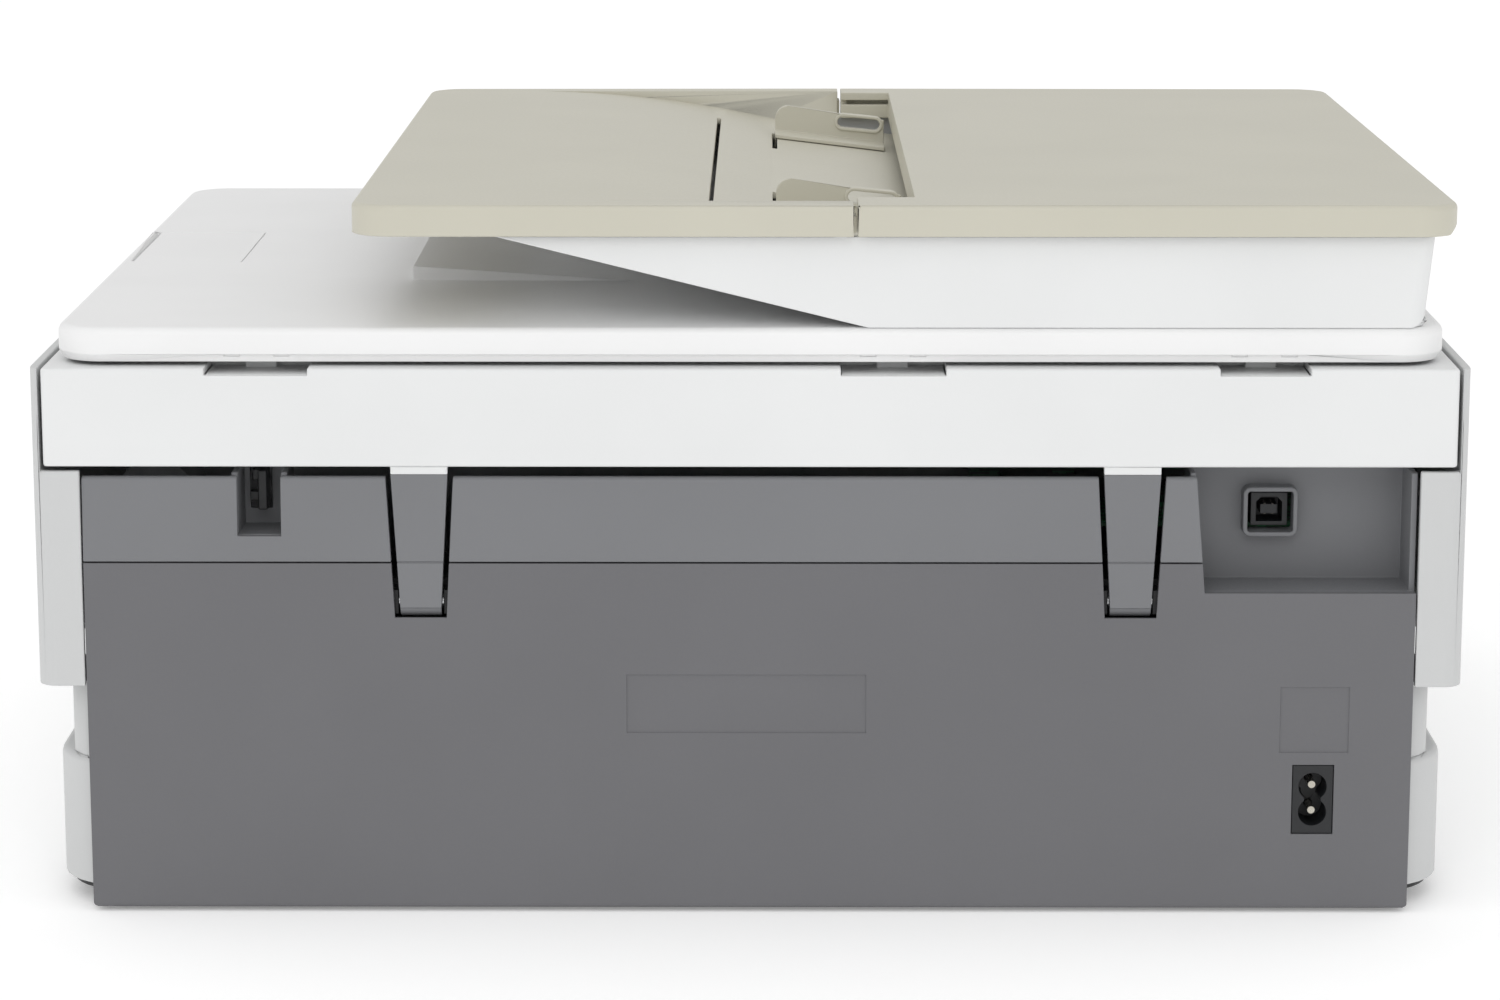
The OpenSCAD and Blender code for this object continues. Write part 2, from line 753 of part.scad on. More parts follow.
module print_carriage() {
    x = carriage_x;
    color(BLACK) difference() {
        union() {
            box([x - carriage_w / 2, carriage_y0, carriage_z0],
                [x + carriage_w / 2, carriage_y1, carriage_z1]);
            box([x - 26, carriage_y1, rod_z - 8], [x + 26, rod_y + 7, rod_z + 8]);
            box([x - 8, carriage_y1, belt_z - 10], [x + 8, belt_y0 - 0.6, belt_z - 4]);
        }
        for (s = [-1, 1]) {
            cx = x + s * (cart_w / 2 + cart_gap);
            box([cx - cart_w / 2 - part_c, carriage_y0 + 3, carriage_z0 + 4],
                [cx + cart_w / 2 + part_c, carriage_y1 - 8, carriage_z1 + 1]);
            box([cx - nose_w / 2 - part_c, -14, carriage_z0 - 1],
                [cx + nose_w / 2 + part_c, 14, carriage_z0 + 5]);
        }
        rod_x(x - 40, x + 40, rod_y, rod_z, rod_r + run_c);
    }
}

// Ink cartridge with its print head underneath
module cartridge(cx) {
    difference() {
        union() {
            box([cx - cart_w / 2, carriage_y0 + 3.3, carriage_z0 + 4],
                [cx + cart_w / 2, carriage_y1 - 8.3, cart_z1]);
            box([cx - nose_w / 2, -13.7, nose_z], [cx + nose_w / 2, 13.7, carriage_z0 + 4]);
        }
        box([cx - cart_w / 2 + 3, carriage_y0 + 1, cart_z1 - 3],
            [cx + cart_w / 2 - 3, carriage_y0 + 9, cart_z1 + 1]);
    }
}

module cartridge_black() {
    color(BLACK) cartridge(carriage_x + cart_w / 2 + cart_gap);
}

module cartridge_color() {
    color("steelblue") cartridge(carriage_x - cart_w / 2 - cart_gap);
}

module platen() {
    color(BLACK) {
        box([-frame_x, -22, 60], [frame_x, 20, 68]);
        for (x = [-100:20:100]) box([x - 1.2, -22, 68], [x + 1.2, 20, 70.6]);
    }
}

module service_station() {
    x0 = frame_x + frame_t + 2;
    x1 = hw - 22;
    color([0.3, 0.3, 0.32]) {
        difference() {
            box([x0, carriage_y0, plate_z1], [x1, 40, 66]);
            box([x0 + 3, carriage_y0 + 3, 40], [x1 - 3, 37, 67]);
        }
        // capping pads on their sled, with a wiper behind
        for (s = [-1, 1])
            box([carriage_x + s * (cart_w / 2 + cart_gap) - 7, -12, 39],
                [carriage_x + s * (cart_w / 2 + cart_gap) + 7, 12, nose_z - 1]);
        box([x0 + 6, 20, 39], [x1 - 6, 22, nose_z - 0.8]);
    }
}

// Rubber-covered feed rollers and the steel shaft that they turn with
module feed_shaft() {
    color(STEEL) rod_x(gear_x0 - 1, frame_x + frame_t + 1.5, feed_y, feed_z, feed_shaft_r);
}

module feed_rollers() {
    color(BLACK)
        for (x = [-80, 0, 80])
            difference() {
                rod_x(x - 16, x + 16, feed_y, feed_z, feed_r);
                rod_x(x - 17, x + 17, feed_y, feed_z, feed_shaft_r + seat_c);
            }
}

// Spur gear on the left of the frame, facing along X
module spur(teeth, y, z, a, bore) {
    difference() {
        translate([0, y, z]) along_x(gear_outline(teeth, a), gear_x0, gear_x0 + gear_w);
        rod_x(gear_x0 - 1, gear_x0 + gear_w + 1, y, z, bore);
    }
}

module feed_gear() {
    color(WHITE) spur(feed_teeth, feed_y, feed_z, 180 + mesh_a, feed_shaft_r + seat_c);
}

// The idler's teeth fall into the gaps of the two gears on either side
mesh_a = atan2(idler_z - feed_z, idler_y - feed_y) - 180;

module transfer_gear() {
    color(WHITE) spur(idler_teeth, idler_y, idler_z, mesh_a + 180 / idler_teeth, idler_pin_r + run_c);
}

module eject_shaft() {
    color(WHITE) {
        rod_x(gear_x0, frame_x + frame_t + 1.5, eject_y, eject_z, eject_shaft_r);
        translate([0, eject_y, eject_z])
            along_x(gear_outline(feed_teeth, mesh_a), gear_x0, gear_x0 + gear_w);
    }
}

module eject_rollers() {
    color(BLACK)
        for (x = [-90:45:90])
            difference() {
                rod_x(x - 5, x + 5, eject_y, eject_z, eject_r);
                rod_x(x - 6, x + 6, eject_y, eject_z, eject_shaft_r + seat_c);
            }
}

module pick_roller() {
    color(BLACK) {
        rod_x(-frame_x - frame_t - 1.5, frame_x + frame_t + 1.5, pick_y, pick_z, pick_shaft_r);
        rod_x(-22, 22, pick_y, pick_z, pick_roller_r);
    }
}

module power_supply() {
    x0 = -(hw - 22);
    color(BLACK) {
        box([x0, 70, plate_z1 + 2], [x0 + 41, hd - 23.5, 66]);
        for (y = [80:12:150]) box([x0 + 3, y, 66], [x0 + 38, y + 3, 68]);
        box([x0 + 4, 74, plate_z1], [x0 + 37, hd - 30, plate_z1 + 2]);
    }
}

module main_board() {
    x0 = -(hw - 25);
    z0 = usb_z - 6.9;
    z1 = z0 + 1.6;
    color([0.1, 0.35, 0.2]) box([x0, 72, z0], [x0 + 130, port_y - pocket_t - 2, z1]);
    color(BLACK) {
        for (i = [0:2]) box([x0 + 50 + 26 * i, 84, z1], [x0 + 68 + 26 * i, 102, z1 + 2]);
        box([x0 + 8, 78, z1], [x0 + 40, 84, z1 + 7]);
        box([x0 + 70, 118, z1], [x0 + 118, 124, z1 + 7]);
    }
}

module case_screws() {
    color(STEEL)
        for (p = SCREWS) {
            rod_z(p[0], p[1], foot_h + 0.1, foot_h + 1.7, 3.2);
            rod_z(p[0], p[1], foot_h + 1.7, plate_z1 + 4, 1.5);
        }
}

// ---------------------------------------------------------------- scanner unit

module scanner_bed() {
    color(WHITE) difference() {
        union() {
            slab(rounded(-bed_x, bed_y0, bed_x, hd, 1.5, 1.5), bed_z0, bed_z1);
            for (x = ARM_X)
                box([x - arm_top_w / 2, arm_y1 - arm_t, cover_top + 1],
                    [x + arm_top_w / 2, arm_y1, bed_z0]);
        }
        slab(rounded(-bed_x + wall, bed_y0 + wall, bed_x - wall, hd - wall, 1, 1), bed_z0 + wall,
            bed_z1 - wall);
        box([strip_x0, glass_y0, bed_z1 - wall - 1], [strip_x0 + strip_w, glass_y1, bed_z1 + 1]);
        box([glass_x0, glass_y0, bed_z1 - wall - 1], [glass_x1, glass_y1, bed_z1 + 1]);
        for (s = SLOTS) {
            box([s[0], slot_y0, bed_z1 - slot_depth], [s[1], hd + 1, bed_z1 + 1]);
            box([s[0], slot_y0, bed_z1 - wall - 1], [s[1], hd - wall, bed_z1 + 1]);
        }
    }
}

module scanner_glass() {
    z1 = bed_z1 - wall;
    color([0.7, 0.8, 0.8]) {
        box([strip_x0 - glass_lap, glass_y0 - glass_lap, z1 - glass_t],
            [strip_x0 + strip_w + glass_lap, glass_y1 + glass_lap, z1]);
        box([glass_x0 - glass_lap, glass_y0 - glass_lap, z1 - glass_t],
            [glass_x1 + glass_lap, glass_y1 + glass_lap, z1]);
    }
}

module scan_rod() {
    color(STEEL) rod_x(-bed_x + wall, bed_x - wall, scan_rod_y, scan_rod_z, scan_rod_r);
}

// Light bar with its image sensor, which runs under the glass on a rod
module scan_bar() {
    z1 = bed_z1 - wall - glass_t - 1;
    color(BLACK) difference() {
        union() {
            box([bar_x0, glass_y0 + 2, scan_rod_z + 4], [bar_x0 + bar_w, glass_y1 - 2, z1]);
            box([bar_x0, scan_rod_y - 8, scan_rod_z - 4.5],
                [bar_x0 + bar_w, scan_rod_y + 8, scan_rod_z + 4]);
        }
        rod_x(bar_x0 - 1, bar_x0 + bar_w + 1, scan_rod_y, scan_rod_z, scan_rod_r + run_c);
    }
}

module lift_arms() {
    z0 = cover_top - arm_len;
    z1 = cover_top + 1;
    foot = arm_foot_w / 2;
    top = arm_top_w / 2;
    color(GREY)
        for (x = ARM_X)
            difference() {
                union() {
                    along_y([[x - foot, pivot_z - 1.5], [x + foot, pivot_z - 1.5], [x + top, z1],
                        [x - top, z1]],
                        arm_y1 - arm_t, arm_y1);
                    rod_x(x - foot, x + foot, pivot_y, pivot_z, barrel_r);
                }
                rod_x(x - foot - 1, x + foot + 1, pivot_y, pivot_z, pivot_r + run_c);
                // the rear cover's seam carries on across the arm
                box([x - top, arm_y1 - mark_depth, seam_z - seam_gap / 2],
                    [x + top, hd + 1, seam_z + seam_gap / 2]);
            }
}

// Hinge posts that plug into the scanner bed and carry the lid
module hinge_posts() {
    z1 = bed_z1 - slot_depth;
    color(WHITE)
        for (s = SLOTS) {
            mid = (s[0] + s[1]) / 2;
            box([s[0] + part_c, slot_y0 + part_c, z1 - 10], [s[1] - part_c, hd - wall - part_c, z1]);
            // the neck reaches back from the post, so that the lid's rear wall can swing under it
            box([mid - tongue_w / 2, slot_y0 + 1, z1],
                [mid + tongue_w / 2, slot_y0 + 1 + neck_t, hinge_z + tongue_r]);
            box([mid - tongue_w / 2, slot_y0 + 1, hinge_z - neck_low],
                [mid + tongue_w / 2, hinge_y, hinge_z + tongue_r]);
            rod_x(mid - tongue_w / 2, mid + tongue_w / 2, hinge_y, hinge_z, tongue_r);
            rod_x(mid - tongue_w / 2 - 5, mid + tongue_w / 2 + 5, hinge_y, hinge_z, lid_pin_r);
        }
}

// ---------------------------------------------------------------- lid

module scanner_lid() {
    inner = lid_z1 - lid_skin;
    color(WHITE) difference() {
        union() {
            difference() {
                union() {
                    slab(rounded(-lid_x, lid_y0, lid_x, lid_y1, lid_r, lid_r), lid_z0 + lid_chamfer,
                        lid_z1);
                    slab(rounded(-lid_x + lid_inset, lid_y0 + lid_inset, lid_x - lid_inset,
                        lid_y1 - lid_inset, lid_r - lid_inset, lid_r - lid_inset),
                        lid_z0, lid_z0 + lid_chamfer);
                }
                slab(rounded(-lid_x + wall + 1, lid_y0 + wall + 1, lid_x - wall - 1, lid_y1 - wall - 0.5,
                    lid_r - wall, lid_r - wall), lid_z0 - 1, inner);
            }
            // block under the document stop
            box([stop_x0 - 4, stop_y0 - 5, inner - 4], [lid_x - 2, stop_y1 + 5, inner]);
            // ears of the lid hinges
            for (s = SLOTS)
                for (side = [-1, 1]) {
                    mid = (s[0] + s[1]) / 2 + side * (tongue_w / 2 + 3);
                    box([mid - 2.5, hinge_y - 3.5, hinge_z - 3.4], [mid + 2.5, lid_y1 - 1.5, inner]);
                }
            // ramp that fans the scanned sheets
            along_y([[ramp_x0, lid_z1 - 1], [ramp_x0, lid_z1], [ramp_x1, lid_z1 + ramp_h],
                [ramp_x1, lid_z1 - 1]],
                ramp_y0, ramp_y1);
        }
        for (s = SLOTS) {
            mid = (s[0] + s[1]) / 2;
            rod_x(mid - tongue_w / 2 - 0.5, mid + tongue_w / 2 + 0.5, hinge_y, hinge_z, tongue_r + 0.35);
            rod_x(mid - tongue_w / 2 - 6, mid + tongue_w / 2 + 6, hinge_y, hinge_z, lid_pin_r + run_c);
        }
        // pocket of the document stop
        box([stop_x0, stop_y0, lid_z1 - stop_t - 0.3], [stop_x1, stop_y1, lid_z1 + 1]);
        box([stop_axis_x - 4, stop_y0, lid_z1 - 5.2], [stop_x1, stop_y1, lid_z1 + 1]);
        rod_y(stop_axis_x, stop_y0 - 2, stop_y1 + 2, stop_axis_z, stop_pin_r + run_c);
    }
}

module document_stop() {
    color(WHITE) difference() {
        union() {
            box([stop_x0 + 0.4, stop_y0 + 0.3, lid_z1 - stop_t],
                [stop_axis_x + 2.4, stop_y1 - 0.3, lid_z1 - 0.1]);
            rod_y(stop_axis_x, stop_y0 - 1.8, stop_y1 + 1.8, stop_axis_z, stop_pin_r);
        }
        // finger scoop under the free edge
        box([stop_x0, -10, lid_z1 - stop_t - 1], [stop_x0 + 3, 17, lid_z1 - 1.4]);
    }
}

// White foam sheet that presses the page onto the glass
module lid_pad() {
    top = lid_z1 - lid_skin;
    color(WHITE) difference() {
        slab(rounded(-lid_x + 24, lid_y0 + 14, lid_x - 24, slot_y0 - 2, 4, 4), bed_z1 + 0.5, top);
        box([stop_x0 - 4 - part_c, stop_y0 - 5 - part_c, top - 4 - part_c],
            [lid_x, stop_y1 + 5 + part_c, top + 1]);
    }
}

// ---------------------------------------------------------------- document feeder

module adf_body() {
    slope = adf_h / (wedge_x1 - wedge_x0);
    lift = wall * sqrt(1 + slope * slope);
    outer = [[adf_x0 + 3, lid_z1], [wedge_x0, lid_z1], [wedge_x1, adf_z1], [adf_x0, adf_z1]];
    inner = [[adf_x0 + 3 + wall, lid_z1 + wall], [wedge_x0 + (wall - lift) / slope, lid_z1 + wall],
        [wedge_x1 - (lift - 1) / slope, adf_z1 + 1], [adf_x0 + wall, adf_z1 + 1]];
    color(WHITE) difference() {
        union() {
            difference() {
                along_y(outer, adf_y0, adf_y1);
                along_y(inner, adf_y0 + wall, adf_y1 - wall);
            }
            // bearings of the feed roller
            for (y = [sheet_y - media_w / 2 - 20, sheet_y + media_w / 2 + 10])
                box([adf_roller_x - 8, y, lid_z1 + wall - 0.5],
                    [adf_roller_x + 8, y + 3, adf_roller_z + 6]);
            // pad that separates the sheets under the pick roller
            box([pick_x - 9, sheet_y - 22, lid_z1 + wall - 0.5],
                [pick_x + 5, sheet_y + 22, pick_axis_z - pick_r - 0.4]);
            // ears of the cover's hinge
            for (y = cover_ear_y) {
                box([cover_axis_x - hinge_ear_r, y, adf_z1 - 3], [adf_x0 + 3, y + 4, cover_axis_z]);
                rod_y(cover_axis_x, y, y + 4, cover_axis_z, hinge_ear_r);
            }
            // ears of the tray's hinge
            for (y = [adf_y0, adf_y1 - wall]) {
                box([tray_axis_x - hinge_ear_r, y, adf_z1 - 3],
                    [tray_axis_x + hinge_ear_r, y + wall, tray_axis_z]);
                rod_y(tray_axis_x, y, y + wall, tray_axis_z, hinge_ear_r);
            }
        }
        // slot through which the sheets come out
        box([wedge_x0 + 2, sheet_y - media_w / 2 - 4, lid_z1 - 1],
            [wedge_x0 + 26, sheet_y + media_w / 2 + 4, lid_z1 + 12]);
        rod_y(adf_roller_x, adf_y0 + wall + 1, adf_y1 - wall - 1, adf_roller_z, adf_shaft_r + run_c);
        for (y = cover_ear_y) rod_y(cover_axis_x, y - 1, y + 5, cover_axis_z, adf_pin_r + run_c);
        for (y = [adf_y0, adf_y1 - wall]) rod_y(tray_axis_x, y - 1, y + wall + 1, tray_axis_z,
            adf_pin_r + run_c);
    }
}

module adf_feed_roller() {
    color(BLACK) {
        rod_y(adf_roller_x, sheet_y - media_w / 2 - 22, sheet_y + media_w / 2 + 14.5, adf_roller_z,
            adf_shaft_r);
        for (y = [-62, 14]) rod_y(adf_roller_x, sheet_y + y, sheet_y + y + 48, adf_roller_z, adf_roller_r);
    }
}

module adf_cover() {
    x1 = split_x - split_gap;
    color(BEIGE) difference() {
        union() {
            difference() {
                slab(sided(cap_x0, cap_y0, x1, cap_y1, cap_r, 0.3), cap_z0, cap_z1);
                slab(sided(cap_x0 + wall, cap_y0 + wall, x1 - wall, cap_y1 - wall, cap_r - wall, 0.2),
                    cap_z0 - 1, cap_z1 - wall);
            }
            // walls round the mouth
            box([mouth_x - wall, mouth_y0 - wall, cap_z0], [x1, mouth_y1 + wall, cap_z1 - 1]);
            // ribs that carry the pick roller
            for (s = [-1, 1])
                box([pick_x - 5, sheet_y + s * 27 - 1.5, pick_axis_z - 4],
                    [pick_x + 5, sheet_y + s * 27 + 1.5, cap_z1 - 1]);
            // ribs with the hinge pins
            for (y = cover_ear_y) {
                box([cover_axis_x - 3, y + 4.5, cap_z0 + 1], [cover_axis_x + 9, y + 7.5, cap_z1 - 1]);
                rod_y(cover_axis_x, y, y + 5, cover_axis_z, adf_pin_r);
            }
        }
        box([mouth_x, mouth_y0, cap_z0 - 1], [x1 + 1, mouth_y1, cap_z1 + 1]);
        // air slot in the mouth's front wall
        box([mouth_x, mouth_y0 - wall - 1, cap_z1 - 4.7], [x1 + 1, mouth_y0 + 1, cap_z1 - 3]);
        rod_y(pick_x, sheet_y - 30, sheet_y + 30, pick_axis_z, 2 + run_c);
        // the lower outer edge is cut back so that the cover clears the body as it opens
        along_y([[cap_x0 - 1, cap_z0 - 1], [cap_x0 + 3, cap_z0 - 1], [cap_x0 + 3, cap_z0],
            [cap_x0, cap_z0 + 3],
            [cap_x0 - 1, cap_z0 + 3]], cap_y0 - 1, cap_y1 + 1);
        for (y = cover_ear_y)
            difference() {
                box([cap_x0 - 1, y - 0.5, cap_z0 - 1], [cover_axis_x + 0.6, y + 4.4, cover_axis_z + 3]);
                rod_y(cover_axis_x, y - 1, y + 5, cover_axis_z, adf_pin_r);
            }
    }
}

module adf_pick_roller() {
    color(BLACK) {
        rod_y(pick_x, sheet_y - 29, sheet_y + 29, pick_axis_z, 2);
        rod_y(pick_x, sheet_y - 20, sheet_y + 20, pick_axis_z, pick_r);
    }
}

// Outline of the tray's floor between two places, with its own thickness under it
function floor_strip(x0, x1, top, bottom, n = 24) = concat(
    [for (i = [0:n]) let (x = x0 + (x1 - x0) * i / n) [x, floor_z(x) + top]],
    [for (i = [n:-1:0]) let (x = x0 + (x1 - x0) * i / n) [x, floor_z(x) + bottom]]);

module adf_tray() {
    skin_z = cap_z1 - wall;
    color(BEIGE) difference() {
        union() {
            difference() {
                slab(sided(split_x, cap_y0, cap_x1, cap_y1, 0.3, cap_r), cap_z0, cap_z1);
                slab(sided(split_x + 1.3, cap_y0 + wall, cap_x1 - wall, cap_y1 - wall, 0.2, cap_r - wall),
                    cap_z0 - 1, skin_z);
                // room for the hinge's ears in both rims
                for (y = [adf_y0, adf_y1 - wall])
                    box([split_x - 1, y - 0.4, cap_z0 - 1],
                        [tray_axis_x + 3.5, y + wall + 0.4, tray_axis_z + 2.35]);
                // the dip runs between the rims
                along_y(concat(floor_strip(split_x - 1, dip_x, 0, 20)), floor_y0, floor_y1);
            }
            // floor and the walls beside it
            along_y(floor_strip(split_x, dip_x + 4, 0, -wall), floor_y0 - 1, floor_y1 + 1);
            for (y = [floor_y0 - wall, floor_y1])
                along_y(concat([for (i = [0:16]) let (x = split_x + (dip_x - split_x) * i / 16) [x,
                    floor_z(x) - wall]],
                    [[dip_x, cap_z1 - 1], [split_x, cap_z1 - 1]]), y, y + wall);
            // ribs that close the slot between the tray and the cover inside both rims
            for (y = [[cap_y0 + 0.6, floor_y0 - 1], [floor_y1 + 1, cap_y1 - 2]])
                box([split_x - split_gap + 0.45, y[0], cap_z0 + 1], [split_x + 0.5, y[1], tray_axis_z + 1.3]);
            // tongue that reaches under the mouth
            along_y(floor_strip(floor_x0, split_x, 0, -wall), mouth_y0 + 0.5, mouth_y1 - 0.5);
            // skin under the overhanging end
            box([wedge_x1 + 2, cap_y0 + 1, cap_z0], [cap_x1 - cap_r, cap_y1 - 1, cap_z0 + wall]);
            // ribs with the hinge pins
            box([tray_axis_x - 2, adf_y1 + 0.4, tray_axis_z - 2.2],
                [tray_axis_x + 2, cap_y1 - 1, cap_z1 - 1]);
            rod_y(tray_axis_x, adf_y1 - wall, adf_y1 + 1, tray_axis_z, adf_pin_r);
            box([tray_axis_x - 2, cap_y0 + 1, tray_axis_z - 2.2],
                [tray_axis_x + 2, adf_y0 - 0.4, cap_z1 - 1]);
            rod_y(tray_axis_x, adf_y0 - 1, adf_y0 + wall, tray_axis_z, adf_pin_r);
        }
        // slit across the tray, and the slots that the guides travel in
        box([12.4, floor_y0 + 35, cap_z0 - 5], [13.8, floor_y1 - 42, cap_z1 + 1]);
        for (y = [guide_y0 - 2, guide_y1 + 2 - track_l])
            box([track_x - track_w / 2, y, cap_z0 - 10], [track_x + track_w / 2, y + track_l, cap_z1 + 1]);
    }
}

// Outline of the guides' finger loop, a leaning pill
function pill(r) = concat(arc(loop_x1, loop_z + loop_lean, r, -90, 90),
    arc(loop_x0, loop_z - loop_lean, r, 90, 270));

// Document guide: upright with a raised finger loop, on a foot that the sheets lie on
module guide(y_out, s) {
    y_in = y_out - s * guide_t;
    y_foot = y_out - s * guide_foot;
    lo = min(y_out, y_in);
    hi = max(y_out, y_in);
    color(BEIGE) {
        difference() {
            union() {
                along_y(concat([[guide_x0, floor_z(guide_x0) + slide_c]],
                    [for (i = [1:8]) let (x = guide_x0 + (guide_x1 - guide_x0) * i / 8) [x,
                        floor_z(x) + slide_c]],
                    arc(guide_x1 - 5, cap_z1 - 4.8, 5, 0, 90), [[guide_x0, cap_z1 - 5.5]]), lo, hi);
                along_y(pill(loop_r), lo - 0.8, hi + 0.8);
            }
            along_y(pill(loop_r - 1.1), lo - 1, hi + 1);
        }
        along_y(floor_strip(guide_x0, guide_x1, slide_c + foot_t, slide_c, 8), min(y_in, y_foot),
            max(y_in, y_foot));
        // tab through the travel slot
        box([track_x - 0.6, min(y_in, y_in - s * 4), floor_z(track_x) - wall - 2],
            [track_x, max(y_in, y_in - s * 4), floor_z(track_x) + slide_c + 0.5]);
    }
}

module rear_guide() {
    guide(guide_y1 + guide_t, 1);
}

module front_guide() {
    guide(guide_y0 - guide_t, -1);
}

// ---------------------------------------------------------------- front controls and trays

module control_panel() {
    c = 0.4;
    y1 = panel_y1 - 1.5;
    // the top edge is round about the hinge, and the lower rear edge is cut back to swing out
    side = concat([[y1, panel_axis_z + panel_nose_r]],
        arc(panel_axis_y, panel_axis_z, panel_nose_r, 90, 180),
        [[panel_axis_y - panel_nose_r, panel_z0 + c], [y1 - 2.5, panel_z0 + c], [y1, panel_z0 + c + 2.5]]);
    color(BLACK) difference() {
        union() {
            along_x(side, panel_x0 + c, panel_x1 - c);
            rod_x(panel_x0 - 1.8, panel_x1 + 1.8, panel_axis_y, panel_axis_z, panel_pin_r);
        }
        box([panel_x0 + 8, -hd - 1, panel_z0 + 9], [panel_x1 - 8, -hd + 2.4, panel_z1 - 8]);
    }
}

module touchscreen() {
    color([0.05, 0.06, 0.08])
        box([panel_x0 + 8.2, -hd + 0.4, panel_z0 + 9.2], [panel_x1 - 8.2, -hd + 2.4, panel_z1 - 8.2]);
}

module power_button() {
    color(WHITE) {
        rod_y(button_x, -hd + 0.2, -hd + 12, button_z, button_r);
        rod_y(button_x, -hd + 12, -hd + 14, button_z, button_r + 2);
    }
}

module paper_tray() {
    t = 2;
    color(BEIGE) difference() {
        union() {
            box([-tray_x, tray_y0 + 2, tray_z0], [tray_x, tray_y1, tray_z1]);
            box([-tray_x - 2, tray_y0 - 1.5, tray_z0 + 0.6], [tray_x + 2, tray_y0 + 2, tray_door_z1]);
        }
        box([-tray_x + t, tray_y0 + 4.5, tray_z0 + t], [tray_x - t, tray_y1 - t, tray_z1 + 1]);
        // finger scoop in the front
        along_y(arc(0, tray_door_z1 + 14, 28, 200, 340, 16), tray_y0 - 2, tray_y0 + 5);
    }
}

// Width guide in the paper tray, on side s
module tray_guide(s) {
    x_out = s * (media_w / 2 + 3);
    x_in = s * (media_w / 2 + 1);
    z0 = tray_z0 + 2 + slide_c;
    color(BLACK) {
        box([min(x_out, x_in), -30, z0], [max(x_out, x_in), 30, tray_z1 - 2.5]);
        box([min(x_in, x_in - s * 30), -15, z0], [max(x_in, x_in - s * 30), 15, z0 + 1.5]);
    }
}

module left_tray_guide() {
    tray_guide(-1);
}

module right_tray_guide() {
    tray_guide(1);
}

module output_tray() {
    color(BEIGE) difference() {
        union() {
            box([-out_x, out_y0, out_z0], [out_x, out_y1, out_z0 + out_t]);
            box([-out_x, out_y0, out_z0], [out_x, out_y0 + 3, out_z0 + 9]);
        }
        along_y(arc(0, out_z0 + 24, 24, 220, 320, 16), out_y0 - 1, out_y0 + 4);
    }
}

base_plate();
rubber_feet();
lower_housing();
rear_cover();
rear_upper_cover();
side_panel_left();
side_panel_right();
front_fascia();
port_pockets();
usb_port();
power_inlet();
inlet_pins();
print_frame();
arm_brackets();
arm_pins();
carriage_rail();
guide_rod();
carriage_belt();
carriage_motor();
platen();
service_station();
power_supply();
main_board();
case_screws();
motor_pulley();
idler_pulley();
print_carriage();
cartridge_black();
cartridge_color();
feed_shaft();
feed_rollers();
feed_gear();
transfer_gear();
eject_shaft();
eject_rollers();
pick_roller();
scanner_bed();
scanner_glass();
scan_rod();
lift_arms();
hinge_posts();
scan_bar();
scanner_lid();
lid_pad();
adf_body();
adf_cover();
adf_pick_roller();
adf_feed_roller();
adf_tray();
rear_guide();
front_guide();
document_stop();
control_panel();
touchscreen();
power_button();
paper_tray();
left_tray_guide();
right_tray_guide();
output_tray();
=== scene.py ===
"""An all-in-one inkjet printer with a document feeder, set up for a studio view of its back.

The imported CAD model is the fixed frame. Mouldings that show are copied from it, given the rounded
edges that a mould leaves, and stand for their CAD nodes; small parts that only the eye needs are
added beside them. All positions come from the CAD nodes' own boxes, in metres.
"""
import json
import logging
import math
from dataclasses import dataclass, field
from enum import Enum
from typing import Any, Callable, Iterable

import bmesh
import bpy
from mathutils import Matrix, Vector
from mathutils.geometry import area_tri, delaunay_2d_cdt


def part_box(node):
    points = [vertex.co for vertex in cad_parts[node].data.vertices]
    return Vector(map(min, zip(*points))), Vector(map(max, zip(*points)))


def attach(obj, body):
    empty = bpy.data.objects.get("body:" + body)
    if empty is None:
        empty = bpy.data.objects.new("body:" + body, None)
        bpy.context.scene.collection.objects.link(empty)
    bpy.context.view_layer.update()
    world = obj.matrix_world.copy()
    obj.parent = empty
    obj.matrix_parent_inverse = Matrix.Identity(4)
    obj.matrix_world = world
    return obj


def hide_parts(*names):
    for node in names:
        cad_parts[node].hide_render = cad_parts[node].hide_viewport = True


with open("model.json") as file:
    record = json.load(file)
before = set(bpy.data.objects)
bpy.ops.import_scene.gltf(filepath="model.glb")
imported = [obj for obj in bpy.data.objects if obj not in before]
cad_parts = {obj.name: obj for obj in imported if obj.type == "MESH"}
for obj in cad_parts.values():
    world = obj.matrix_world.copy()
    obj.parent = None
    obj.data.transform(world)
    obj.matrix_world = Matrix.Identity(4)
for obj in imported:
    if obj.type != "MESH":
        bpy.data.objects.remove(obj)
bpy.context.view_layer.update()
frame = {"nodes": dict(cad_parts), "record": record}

MM = 0.001
Corner = tuple[float, float, float]
LOG = logging.getLogger("printer")

# Lengths that the mesh work takes as nothing.
WELD = 0.002 * MM
DEGENERATE = 0.001 * MM
LEVEL_SLACK = 0.03 * MM
FOOT_SLACK = 0.01 * MM
SHORTEST_EDGE = 0.05 * MM
# A flat region smaller than this is left as it is.
SMALLEST_REGION = 0.5 * MM * MM
# How far a region that is filled again may differ in area: a share of it, and square millimetres.
AREA_SHARE, AREA_SLACK = 0.003, 0.6
# Bends between two faces: flat below the first; above the others an edge may take one of a
# moulding's named rounds, takes its small round, or is shaded as a sharp edge.
FLAT_BELOW = math.radians(0.2)
ROUND_ABOVE = math.radians(28)
SMALL_ABOVE = math.radians(32)
SHARP_ABOVE = math.radians(40)
# An edge is upright when its direction's Z is at least this.
UPRIGHT = 0.7
# How strongly a large face decides the shading of the corners that it shares.
FLAT_WEIGHT = 60


